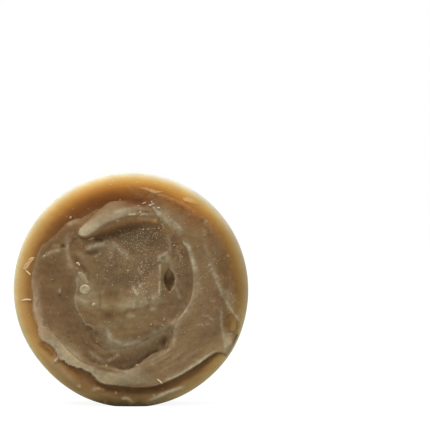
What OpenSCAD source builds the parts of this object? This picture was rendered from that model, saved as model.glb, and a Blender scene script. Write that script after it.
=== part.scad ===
// Shaving soap puck: a cast base with a dished face, and soft soap spread over it
// in laps with a spatula. It stands on a small flat on its edge, facing -Y.

/* [Base puck] */
// Diameter of the puck
puck_d = 80; // [70:1:95]
// Height of the cast base, from its back face to the crest of its rim
base_h = 22; // [20:0.5:26]
// Radius of the round shoulder between the side and the face
shoulder_r = 4.5; // [3:0.5:5]
// Radius of the edge round the back face
back_edge_r = 1.5; // [1:0.25:2.5]
// Depth of the dish in the face below the rim's crest
dish_depth = 4; // [3:0.25:5]
// Radius of the dish's flat floor
dish_floor_r = 26.5; // [24:0.5:28]
// Width of the flat on the edge that the puck stands on
stand_flat_w = 12; // [10:0.5:18]

/* [Spread soap] */
// Height of the first, even layer above the dish's floor
layer_h = 2.8; // [2:0.2:3.4]
// Height of the outer sweep above the layer
sweep_h = 2.6; // [2:0.2:3]
// Height of the inner mound above the layer
mound_h = 2.9; // [2:0.1:3.2]
// Height of the tongue fold above the layer
tongue_h = 5.2; // [4.5:0.1:5.6]

/* [Bits on the surface] */
// Thickness of the smears on the rim
smear_t = 0.5; // [0.3:0.1:0.8]
// Thickness of the shavings
shaving_t = 0.4; // [0.3:0.1:0.6]
// Height of the chunks pressed into the mound
chunk_h = 1.2; // [0.8:0.1:1.8]
// Height of the crumbs
crumb_h = 0.8; // [0.5:0.1:1]

/* [Pits] */
// Length of the leaf-shaped pit in the mound
leaf_pit_l = 7; // [5:0.5:9]
// Width of the leaf-shaped pit
leaf_pit_w = 3.2; // [2:0.2:4]
// Depth of both pits
pit_depth = 2; // [1:0.25:2.5]

/* [Hidden] */

puck_r = puck_d / 2;
k = puck_r / 40;               // plan scale of every outline below, drawn on a 40 mm radius
centre_z = sqrt(pow(puck_r, 2) - pow(stand_flat_w / 2, 2));
crest_r = puck_r - shoulder_r;
dish_floor = base_h - dish_depth;
layer_top = dish_floor + layer_h;
sweep_top = layer_top + sweep_h;
mound_top = layer_top + mound_h;
total_h = layer_top + tongue_h;
arc_steps = 10;
spline_steps = 5;
amber = "#b98545";
taupe = "#8f7a5c";
light_taupe = "#ab9a7a";
pale = "#cdbb98";

// ---- curves ----

// Points of an arc, in the order of its angles
function arc(c, r, a0, a1) =
    [for (i = [0 : arc_steps])
        let (a = a0 + (a1 - a0) * i / arc_steps) c + r * [cos(a), sin(a)]];

function smooth01(t) = t * t * (3 - 2 * t);

// Height of the base's face at radius r
function face_h(r) =
    r <= dish_floor_r ? dish_floor :
    r < crest_r ? dish_floor
        + dish_depth * smooth01((r - dish_floor_r) / (crest_r - dish_floor_r)) :
    base_h - shoulder_r + sqrt(max(0, pow(shoulder_r, 2) - pow(r - crest_r, 2)));

// Closed Catmull-Rom curve through the points
function closed_curve(p) =
    let (n = len(p))
    [for (i = [0 : n - 1], j = [0 : spline_steps - 1])
        let (t = j / spline_steps,
             a = p[(i + n - 1) % n], b = p[i], c = p[(i + 1) % n], d = p[(i + 2) % n])
        k * 0.5 * (2 * b + (c - a) * t + (2 * a - 5 * b + 4 * c - d) * pow(t, 2)
            + (3 * b - a - 3 * c + d) * pow(t, 3))];

// ---- plan outlines, x to the right and y up on the face, from the puck's axis ----

layer_outline = [
    [-31.5, 2], [-31.5, 7], [-30, 11.5], [-26.5, 16], [-21, 20.5], [-15, 24.5], [-8, 28],
    [-1, 30.5], [6, 31.5], [13, 30], [19.5, 27], [25, 23], [29.5, 18], [32.5, 11],
    [33.5, 3], [33.5, -6], [31.5, -13.5], [27.5, -19], [21, -24], [13, -28], [5, -31],
    [-3, -31.5], [-10, -29.5], [-17, -26], [-23, -21.5], [-28, -15.5], [-30.5, -9], [-31.5, -3]];

sweep_outline = [
    [4.5, 30], [8.5, 27], [12.5, 23.5], [16, 20.5], [19, 16.5], [21, 11.5], [22, 6],
    [22, 0.5], [20.5, -4.5], [17.5, -8.5], [14, -13], [12, -17], [11, -20.5], [7, -23],
    [2, -25.5], [-3, -27], [-8, -26.5], [-13, -25], [-18, -22], [-22.5, -18],
    [-26, -13.5], [-28.5, -9], [-30, -4], [-31, 1],
    [-33, 2], [-33, -4], [-32.5, -9], [-30.5, -15.5], [-27, -20], [-22.5, -24.5],
    [-16, -28.5], [-9.5, -32], [-2.5, -33.5], [5, -33], [13, -30.5], [21, -26.5],
    [28, -21.5], [32.5, -21], [35, -16.5], [36, -11], [36, -4.5], [35.5, 2],
    [34.5, 9], [32, 15.5], [28, 21.5], [23, 26.5], [17, 30], [11, 32.5], [6, 33.5],
    [2.5, 32]];

mound_outline = [
    [-13.5, 17], [-6, 20.5], [1, 22.5], [8, 22], [13, 19.5], [17, 15.5], [19.5, 10.5],
    [20.5, 5], [20, -1], [18, -6], [15, -10], [11.5, -13.5], [7, -15.5], [3, -17.5],
    [-1, -19], [-5, -18.5], [-7.5, -15.5], [-10.5, -13], [-15.5, -12], [-17.5, -8],
    [-19, -3.5], [-18, 0.5], [-19.5, 6], [-21.5, 10], [-22, 15], [-18.5, 16.5]];

tongue_outline = [
    [-17.5, 18.5], [-16, 22], [-12.5, 25], [-9.5, 28], [-5.5, 30], [-1, 30.5], [4, 29.5],
    [8.5, 26.5], [12.5, 23], [16, 20], [17, 17.5], [14.5, 19.5], [11, 22.5], [8, 24.5],
    [4, 25.5], [-0.5, 25], [-6, 23.5], [-10.5, 20.5], [-14, 18.5]];

chunk_outlines = [
    [[-17, 6], [-15, 5.5], [-14, 3], [-14.5, 1.8], [-16.5, 3]],
    [[-17.5, 0], [-16, 1.5], [-13.5, 1.2], [-13, -0.5], [-15, -1.5], [-17, -1.5]],
    [[-13, -4.3], [-11.6, -4.2], [-11.4, -5.4], [-12.8, -5.6]]];

smear_outlines = [
    [[2, 35], [5, 35.6], [9, 34.6], [12, 32.4], [9.5, 32.6], [5, 33.4]],
    [[17, 31.6], [20, 30.8], [22.5, 28.6], [20.5, 28.6], [17.6, 30]]];

// The pits' places, and how far each leans to the left of upright
leaf_pit_at = [13, 3.2];
leaf_pit_turn = -4;
trough_pit_at = [10.2, -17.8];
trough_pit_turn = -60;
trough_pit_l = 2.8;
trough_pit_w = 2;

// Each shaving: place of its middle, direction, length, width
flake_at = [[-34.3, 9, 58, 5, 1.5]];
sliver_at = [[-34.5, 5.6, -50, 1.9, 0.5], [-35.4, -3.2, 4, 3.2, 0.5], [9.8, -30.8, -40, 2.2, 0.4]];

// Each crumb: place, radius, and the height of what it lies on
crumb_at = [
    [-20.5, 24.6, 0.5, face_h(sqrt(pow(20.5, 2) + pow(24.6, 2)) * k)],
    [-17.8, 8.8, 0.8, mound_top], [7.4, 29.1, 0.6, sweep_top], [9.4, 27.6, 0.5, sweep_top],
    [-13.4, 17.2, 0.6, mound_top], [-4.3, 20, 0.3, mound_top], [14, -9, 0.4, mound_top],
    [1, -14, 0.3, mound_top], [26, 10, 0.3, sweep_top], [24, -8, 0.3, sweep_top]];

// ---- solids in the lying frame, z out of the face ----

module base_solid() {
    rotate_extrude($fn = 180)
        polygon(concat(
            [[0, 0]],
            arc([puck_r - back_edge_r, back_edge_r], back_edge_r, -90, 0),
            arc([crest_r, base_h - shoulder_r], shoulder_r, 0, 90),
            [for (i = [arc_steps - 1 : -1 : 0])
                let (r = dish_floor_r + (crest_r - dish_floor_r) * i / arc_steps)
                [r, face_h(r)]],
            [[0, dish_floor]]));
}

// A flat-topped slab of soap over an outline, from height z0 to z1
module slab(outline, z0, z1) {
    translate([0, 0, z0])
        linear_extrude(z1 - z0) polygon(closed_curve(outline));
}

// A pit with two pointed ends, its mouth at height z: place, direction, length, width
module leaf_pit(at, turn, length, width, z) {
    side_r = (pow(length, 2) / 4 + pow(width, 2) / 4) / width;
    translate([at[0] * k, at[1] * k, z - pit_depth]) rotate(turn)
        intersection_for (side = [-1, 1])
            translate([side * (side_r - width / 2), 0, 0])
                cylinder(h = 2 * pit_depth, r = side_r, $fn = 90);
}

// A thin shaving with pointed ends: length, width, and how far its middle bows
module shaving(length, width, bow) {
    side = [for (i = [0 : arc_steps]) let (t = i / arc_steps)
        [length * (t - 0.5), bow * sin(180 * t) + width / 2 * pow(sin(180 * t), 0.6)]];
    other = [for (i = [arc_steps - 1 : -1 : 1]) let (t = i / arc_steps)
        [length * (t - 0.5), bow * sin(180 * t) - width / 2 * pow(sin(180 * t), 0.6)]];
    linear_extrude(shaving_t) polygon(concat(side, other));
}

// Shavings laid on height z: place, direction, length, width
module shavings(list, z) {
    for (s = list)
        translate([s[0] * k, s[1] * k, z]) rotate(s[2]) shaving(s[3], s[4], s[4] / 3);
}

// Turns the lying puck up on to its edge, its face towards -Y, and cuts the flat
module stand() {
    difference() {
        translate([0, total_h / 2, centre_z]) rotate([90, 0, 0]) children();
        translate([-puck_r, -puck_r, -puck_r]) cube([puck_d, puck_d, puck_r]);
    }
}

// The same without the cut, for pieces that stay clear of the flat
module upright() {
    translate([0, total_h / 2, centre_z]) rotate([90, 0, 0]) children();
}

// ---- the pieces ----

module base_puck() {
    color(amber) stand() base_solid();
}

module spread_layer() {
    color(taupe) upright() difference() {
        slab(layer_outline, dish_floor - 1, layer_top);
        base_solid();
        leaf_pit(trough_pit_at, trough_pit_turn, trough_pit_l, trough_pit_w, layer_top);
    }
}

module outer_sweep() {
    color(taupe) upright() difference() {
        slab(sweep_outline, layer_top, sweep_top);
        base_solid();
    }
}

module inner_mound() {
    color(taupe) upright() difference() {
        slab(mound_outline, layer_top, mound_top);
        leaf_pit(leaf_pit_at, leaf_pit_turn, leaf_pit_l, leaf_pit_w, mound_top);
    }
}

module tongue_fold() {
    color(light_taupe) upright() difference() {
        slab(tongue_outline, layer_top, total_h);
        slab(sweep_outline, layer_top - 1, sweep_top);
    }
}

module soap_chunks() {
    color(pale) upright()
        for (c = chunk_outlines) slab(c, mound_top, mound_top + chunk_h);
}

module rim_smears() {
    color(pale) upright() difference() {
        for (s = smear_outlines) slab(s, base_h - 1.5, base_h + smear_t);
        base_solid();
        slab(sweep_outline, layer_top - 1, sweep_top);
    }
}

module rim_flake() {
    color(pale) upright() shavings(flake_at, base_h);
}

module slivers() {
    color(pale) upright() {
        shavings([sliver_at[0], sliver_at[1]], base_h);
        shavings([sliver_at[2]], sweep_top);
    }
}

module crumbs() {
    color(pale) upright()
        for (c = crumb_at)
            translate([c[0] * k, c[1] * k, c[3]]) cylinder(h = crumb_h, r = c[2], $fn = 7);
}

base_puck();
spread_layer();
outer_sweep();
inner_mound();
tongue_fold();
soap_chunks();
rim_smears();
rim_flake();
slivers();
crumbs();
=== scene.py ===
# Shaving soap puck: the looks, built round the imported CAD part.
# A point on the face is (u, v, w) in millimetres: u to the right and v up from the puck's
# axis, w out of the back face. to_row() takes it to the row frame, in metres.
import math

import bpy
import numpy as np
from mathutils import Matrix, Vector
from mathutils.bvhtree import BVHTree


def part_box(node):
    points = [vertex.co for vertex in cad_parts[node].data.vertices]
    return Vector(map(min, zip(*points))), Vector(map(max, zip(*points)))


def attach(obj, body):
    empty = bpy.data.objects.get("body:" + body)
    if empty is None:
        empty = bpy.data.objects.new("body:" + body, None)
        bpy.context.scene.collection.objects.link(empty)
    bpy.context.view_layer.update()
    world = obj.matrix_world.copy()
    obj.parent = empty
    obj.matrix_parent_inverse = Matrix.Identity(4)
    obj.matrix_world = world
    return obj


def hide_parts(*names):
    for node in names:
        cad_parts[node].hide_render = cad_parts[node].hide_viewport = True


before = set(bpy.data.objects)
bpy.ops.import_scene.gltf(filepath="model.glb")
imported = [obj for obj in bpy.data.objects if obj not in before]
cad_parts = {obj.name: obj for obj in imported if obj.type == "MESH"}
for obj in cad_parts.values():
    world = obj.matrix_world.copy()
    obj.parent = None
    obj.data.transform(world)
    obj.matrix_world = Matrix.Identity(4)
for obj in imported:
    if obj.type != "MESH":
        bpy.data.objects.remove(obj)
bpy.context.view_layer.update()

MM = 0.001


# ---- the frame ----

def front_of(node):
    """How far a CAD node reaches out of the back face's plane, in mm."""
    return BACK_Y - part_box(node)[0].y / MM


base_low, base_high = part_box("base_puck")
PUCK_R = (base_high.x - base_low.x) / 2 / MM
CENTRE_Z = base_high.z / MM - PUCK_R
BACK_Y = base_high.y / MM
FLAT_V = -CENTRE_Z
BASE_TOP = front_of("base_puck")
TONGUE_TOP = front_of("tongue_fold")
DISH_DEPTH = 4.0
DISH_FLOOR = BASE_TOP - DISH_DEPTH
# The round of the back's edge
BACK_EDGE = 1.5


def to_row(plan):
    """Points (u, v, w) in mm as points of the row frame in metres."""
    return np.stack([plan[:, 0], BACK_Y - plan[:, 2], CENTRE_Z + plan[:, 1]], 1) * MM


# ---- numbers and fields ----

def smooth01(t):
    """From 0 to 1 with soft ends."""
    t = np.clip(t, 0, 1)
    return t * t * (3 - 2 * t)


def mix(a, b, share):
    """a where share is 0, b where it is 1."""
    return a + (b - a) * share


def linear(r, g, b):
    """A screen colour from 0 to 255, as linear light."""
    c = np.array([r, g, b], float) / 255
    return np.where(c <= 0.04045, c / 12.92, ((c + 0.055) / 1.055) ** 2.4)


# How many waves a ripple adds up
RIPPLE_WAVES = 14


def ripple(u, v, size, seed):
    """A smooth random field of about -1 to 1, with lumps about size mm across."""
    rng = np.random.default_rng(seed)
    total = np.zeros_like(u)
    for _ in range(RIPPLE_WAVES):
        angle = rng.uniform(0, 2 * math.pi)
        pitch = size * rng.uniform(1.3, 3.2)
        phase = rng.uniform(0, 2 * math.pi)
        total += np.sin((u * math.cos(angle) + v * math.sin(angle)) * 2 * math.pi / pitch + phase)
    return 0.55 * total / math.sqrt(RIPPLE_WAVES / 2)


def curve(points, closed=False, step=0.7):
    """Catmull-Rom curve through the points. Columns after the first two are carried along."""
    p = np.array(points, float)
    n = len(p)
    out = []
    for i in range(n if closed else n - 1):
        a, b, c, d = [p[k % n if closed else min(max(k, 0), n - 1)] for k in range(i - 1, i + 3)]
        pieces = max(2, int(math.dist(b[:2], c[:2]) / step))
        for j in range(pieces):
            t = j / pieces
            out.append(0.5 * (2 * b + (c - a) * t + (2 * a - 5 * b + 4 * c - d) * t ** 2
                              + (3 * b - a - 3 * c + d) * t ** 3))
    out.append(out[0] if closed else p[-1])
    return np.array(out)


def along(path, u, v):
    """For each point: its distance to the path, its side (1 is left), the place along the
    path from 0 to 1, and the row of the path, with a fraction, that is nearest."""
    best = np.full(u.shape, np.inf)
    side = np.ones(u.shape)
    row = np.zeros(u.shape)
    for i in range(len(path) - 1):
        (au, av), (bu, bv) = path[i, :2], path[i + 1, :2]
        du, dv = bu - au, bv - av
        t = np.clip(((u - au) * du + (v - av) * dv) / max(du * du + dv * dv, 1e-9), 0, 1)
        gu, gv = u - au - t * du, v - av - t * dv
        far = gu * gu + gv * gv
        nearer = far < best
        best = np.where(nearer, far, best)
        side = np.where(nearer, np.where(du * gv - dv * gu >= 0, 1.0, -1.0), side)
        row = np.where(nearer, i + t, row)
    return np.sqrt(best), side, row / (len(path) - 1), row


# The share of a stroke's length over which each of its ends fades out
TAPER = 0.25


def stroke(u, v, points, left, right):
    """A bell along a line, from 0 to 1. left and right are its half widths on each side, and it
    fades out at both ends."""
    path = curve(points)
    reach = 3 * max(left, right)
    near = ((u > path[:, 0].min() - reach) & (u < path[:, 0].max() + reach)
            & (v > path[:, 1].min() - reach) & (v < path[:, 1].max() + reach))
    out = np.zeros(u.shape)
    if near.any():
        far, side, place, _ = along(path, u[near], v[near])
        width = np.where(side > 0, left, right)
        ends = smooth01(np.minimum(place, 1 - place) / TAPER)
        out[near] = np.exp(-(far / width) ** 2) * ends
    return out


def turned(u, v, at, turn):
    """Each point as seen from a place, in axes turned that many degrees anticlockwise."""
    c, s = math.cos(math.radians(turn)), math.sin(math.radians(turn))
    x, y = u - at[0], v - at[1]
    return x * c + y * s, y * c - x * s


def spot(u, v, at, radii, turn):
    """A soft elliptical spot, 1 in its middle."""
    across, up = turned(u, v, at, turn)
    return np.exp(-(across / radii[0]) ** 2 - (up / radii[1]) ** 2)


def leaf(u, v, at, length, width, turn):
    """1 inside a leaf with two pointed ends, falling to 0 at its edge."""
    across, up = turned(u, v, at, turn)
    half = np.maximum(width / 2 * (1 - (2 * up / length) ** 2), 1e-3)
    return np.where(np.abs(up) < length / 2, np.clip(1 - (across / half) ** 2, 0, 1), 0)


# ---- relief: what a spatula left, as strokes and spots ----
# A stroke: points, half width left, half width right, height, tint (1 pale, partly a painted highlight;
# -1 dark, painted shade)
# A spot: place, radii, turn, height, tint

LAYER_STROKES = [
    # pale borders of the smooth crescent at the left
    ([(-33.4, -1), (-33.3, 3), (-32.6, 6.6), (-31.6, 9.8), (-30.8, 12.2), (-29.4, 14.4), (-27.6, 16.2),
      (-25.4, 17.9), (-23.2, 19.4)], 0.6, 0.7, 0.15, 0.2),
    ([(-30.8, 10.6), (-29, 11.4), (-27.2, 12.4), (-25.3, 13.2), (-23.2, 13.6)], 0.4, 0.6, 0.25, 0.5),
    ([(-26.6, 14), (-25.2, 14.6), (-23.8, 14.9)], 0.5, 0.5, 0.15, 0.3),
    ([(-23.3, 15.2), (-22.9, 14.6), (-22.8, 13.9)], 0.5, 0.5, -0.6, -0.7),
    ([(-20.8, 20.4), (-20.2, 22.6), (-18.4, 24.6), (-15, 25.6)], 0.7, 0.9, 0.25, 0.28),
    ([(-20.4, 20), (-21.2, 17), (-21.2, 13), (-20.7, 9.6), (-20, 6.8), (-19.2, 4.2)],
     0.7, 0.9, 0.35, 0.34),
    # the trough: it falls towards a crack along its lower edge, and ends in a pit; painted shade darkens
    # it and the crack
    ([(-8.4, -24.9), (-5.4, -26), (-2.6, -26.7), (-0.6, -26.6), (1.6, -25.4), (4, -23.8),
      (6.6, -21.9), (9.4, -20.5), (11.8, -19.7), (12.8, -18.4)], 2.2, 0.6, -0.7, -0.2),
    ([(-8.6, -25.1), (-5.4, -26.3), (-2.6, -27), (-0.6, -26.8), (1.6, -25.7), (4, -24.1),
      (6.6, -22.2), (9.4, -20.9), (11.8, -20), (12.9, -18.4)], 0.6, 0.5, -0.5, -0.75),
    ([(-8, -24.6), (-6, -23.2), (-3.4, -21.5)], 0.3, 0.35, 0.15, 0.4),
    # arcs to the left of it
    ([(-15.4, -20.4), (-15.1, -22.3), (-13.4, -23.9), (-11, -24.9), (-8.8, -25.5)],
     0.45, 0.5, -0.35, -0.5),
    ([(-14.4, -19.4), (-12.6, -21.9), (-10.2, -23.6), (-8.2, -24.5)], 0.4, 0.5, 0.25, 0.32),
    ([(-17.2, -15.2), (-15.6, -17.8), (-13.6, -19.8), (-11, -21.4)], 0.5, 0.6, -0.2, -0.3),
    ([(-13.7, -14.4), (-12.9, -16.8), (-11, -18.9), (-8.6, -20.3), (-5.8, -21)],
     0.5, 0.6, -0.4, -0.36),
]
LAYER_SPOTS = [
    ((11.5, -18.2), (2.3, 1.7), 52, -1.5, -1.0),
    ((-20.9, -16.3), (0.4, 0.35), 0, -0.4, -0.9),
    ((-20.3, -17.5), (0.35, 0.5), 0, -0.2, -0.5),
    ((-24, -0.4), (0.45, 0.9), 0, 0.15, 0.5),
    ((-23.9, -2), (0.4, 0.5), 0, -0.3, -0.55),
    ((-13.7, -13.5), (0.8, 0.7), 0, -0.3, -0.5),
]

MOUND_STROKES = [
    # the shaded hollow under the tongue, and down the right wall of the scoop
    ([(-12, 17), (-8.6, 17.8), (-5.2, 18.9), (-1.5, 19.9), (2, 20.9), (5.5, 21.6), (8.4, 21.3),
      (10.4, 19.4), (11.5, 16.8), (11.6, 14.4)], 1.4, 1.5, -0.4, -0.22),
    ([(11.3, 19.4), (12.6, 17.8), (13.4, 15.8), (13.6, 13.6), (13.3, 12.2)], 0.4, 0.45, 0.25, 0.36),
    ([(14.2, 18.4), (14.9, 15.6), (15, 12.6), (15.2, 10)], 0.8, 0.6, -0.3, -0.32),
    # the hook and the upright ridge below it
    ([(13, 12.6), (11.2, 11.8), (10.1, 11.1), (9.6, 10.1), (9.8, 9.2)], 0.45, 0.4, 0.35, 0.8),
    ([(9.8, 10), (10.6, 9.8), (11.5, 9.3)], 0.3, 0.35, 0.2, 0.55),
    ([(10, 9.2), (10.1, 6), (10, 3)], 0.26, 0.3, 0.35, 0.6),
    ([(10, 3.6), (10, 0.4), (9.7, -2.4)], 0.28, 0.34, 0.5, 0.95),
    ([(11.1, 8), (11, 4), (10.9, 0), (10.8, -3)], 0.6, 0.6, -0.3, -0.25),
    ([(9.7, -2), (8.6, -3), (7, -3.3)], 0.9, 0.8, 0.15, 0.42),
    # the lips of the leaf-shaped pit, and the marks right of it
    ([(12.8, 8.2), (14.2, 6.7), (15.2, 4.9), (15.2, 3.4), (14.4, 1.4), (13.3, -0.6), (12.5, 0.2)],
     0.35, 0.4, 0.15, 0.55),
    ([(15.5, 1.2), (16.1, -1.2), (17.3, -3.8)], 0.35, 0.4, 0.2, 0.4),
    ([(15.8, 13.8), (16.4, 12.2), (17.5, 9.8)], 0.25, 0.3, 0.15, 0.5),
    # the shaded side of the ridge on the right
    ([(17.2, 15.4), (18.5, 12), (19.5, 8), (20.1, 4), (20, 0), (19.2, -3), (17.2, -6.2),
      (14.2, -9.4)], 1.0, 1.7, -0.4, -0.36),
    # the creases at the left, darkened as painted shade, and the pale lumps beside them
    ([(-10.3, -0.6), (-10.1, -2.6), (-10.3, -6.2)], 0.25, 0.3, -0.2, -0.45),
    ([(-19.4, 12.6), (-18.7, 10.8), (-17.6, 8.6), (-16.2, 6.9), (-14.8, 5.4), (-13.9, 3.4),
      (-13.3, 1.2)], 0.7, 0.6, -0.7, -0.4),
    ([(-18.2, 12.8), (-16.8, 11.4), (-15.4, 10)], 0.8, 0.8, 0.2, 0.2),
    ([(-18.4, 18), (-19.2, 15), (-19.4, 12.4)], 1.0, 1.0, -0.4, -0.35),
    ([(-19.1, -2.2), (-17, -3.3), (-14.8, -4.2), (-13, -4.8)], 0.5, 0.7, 0.25, 0.4),
    ([(-18, 4.6), (-17.8, 2.4), (-18.6, -1)], 0.6, 0.6, 0.15, 0.25),
    # the pale roll below the scoop, the creases under it and the flake
    ([(-4.8, -4.8), (-1, -5.1), (3, -4.5), (5.8, -4.6)], 1.9, 1.8, 0.5, 0.34),
    ([(4.4, -2.6), (5.5, -4), (5.8, -5.4)], 0.3, 0.35, 0.2, 0.4),
    ([(6.4, -4.4), (6.1, -5.8), (6.2, -7)], 0.4, 0.35, -0.1, -0.25),
    ([(-3, -7.8), (-0.4, -7.2), (2.4, -6.8), (4.6, -6.6)], 0.5, 0.5, -0.15, -0.38),
    ([(-1.7, -8.9), (-0.4, -8.8), (0.8, -8.9), (2.1, -8.6)], 0.4, 0.35, 0.15, 0.42),
    ([(6.4, -6.9), (7.4, -6.5), (8.9, -6.2)], 0.5, 0.4, 0.15, 0.45),
    ([(0.8, 1.8), (1.3, 0), (2.3, -1.6)], 0.35, 0.35, 0.25, 0.55),
    # the small fold like a half-closed eye
    ([(-15, 13.5), (-12.6, 14.5), (-9.6, 15.4), (-7.8, 16.3)], 0.75, 0.75, 0.45, 0.7),
    ([(-12.4, 17), (-10.6, 16.9), (-8.8, 16.3)], 0.45, 0.4, -0.6, -0.7),
    ([(-15.4, 12.4), (-13, 12.1), (-10.4, 12.8)], 0.75, 0.55, -0.5, -0.65),
    ([(-12.6, 10.9), (-11, 11.6), (-9.7, 12.7)], 0.25, 0.3, 0.2, 0.5),
    ([(-13, 15.6), (-10.6, 15.9)], 0.4, 0.4, -0.1, -0.15),
    # creases that fan out over the scoop
    ([(-7.4, 17.2), (-5.2, 15), (-3, 12.8), (-0.8, 10.9), (1.6, 9.7)], 0.6, 0.75, 0.25, 0.36),
    ([(-7.6, 15.8), (-6.2, 12.4), (-6.8, 9)], 0.5, 0.7, 0.15, 0.22),
    ([(-5, 14), (-4.6, 9.6), (-4.8, 5.6)], 0.5, 0.5, -0.2, -0.22),
    ([(2.4, 7.8), (3.3, 6.2), (4.2, 4.8)], 0.35, 0.35, 0.2, 0.45),
    # the smile-shaped ridge along the lower edge, and a softer one left of it
    ([(17.4, -8.6), (15.4, -10.8), (13, -12.7), (10.4, -14), (7.6, -15.2), (5.2, -16.6)],
     0.5, 0.8, 0.25, 0.45),
    ([(5.8, -15.7), (3, -17.4), (0, -18.5), (-2.4, -18.8), (-4.6, -18.1), (-6.1, -17), (-7, -15.7),
      (-7.4, -14.2), (-7, -12.8), (-5.8, -12)], 0.6, 0.7, 0.3, 0.75),
    ([(-10.2, -10.2), (-9.7, -12.6), (-8.8, -15), (-7.6, -17.4), (-5.6, -19.2)], 0.9, 0.9, 0.15, 0.3),
]
MOUND_SPOTS = [
    ((3.3, 1.4), (0.5, 0.8), 15, 0.3, 0.7),
    ((3.4, 3.1), (0.4, 0.6), 0, -0.4, -0.8),
    ((2.4, -1.7), (0.45, 0.45), 0, 0.3, 1.0),
    ((3.7, 6.7), (0.4, 0.5), 30, -0.2, -0.5),
    ((9.8, -1.4), (0.35, 0.8), 0, 0.1, 0.6),
    ((-9.6, -1.2), (0.4, 0.7), 0, 0.1, 0.55),
    ((-6.2, -1.8), (2.6, 1.6), 0, -0.3, -0.28),
    ((11, -19), (1.7, 1), 28, -0.2, -0.4),
    ((-6.8, -8.8), (2.8, 1.3), -8, -0.3, -0.4),
    ((-3, 3.4), (3, 1.6), 0, -0.2, -0.2),
    ((12.8, 10.4), (1.2, 1.2), 0, 0.1, 0.3),
    ((14.4, 8.4), (1.4, 0.8), -30, 0.1, 0.3),
    ((-14.6, 13.9), (0.5, 0.5), 0, 0.1, 0.4),
    ((-7.8, 16.5), (0.4, 0.4), 0, 0.2, 0.7),
]

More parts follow.
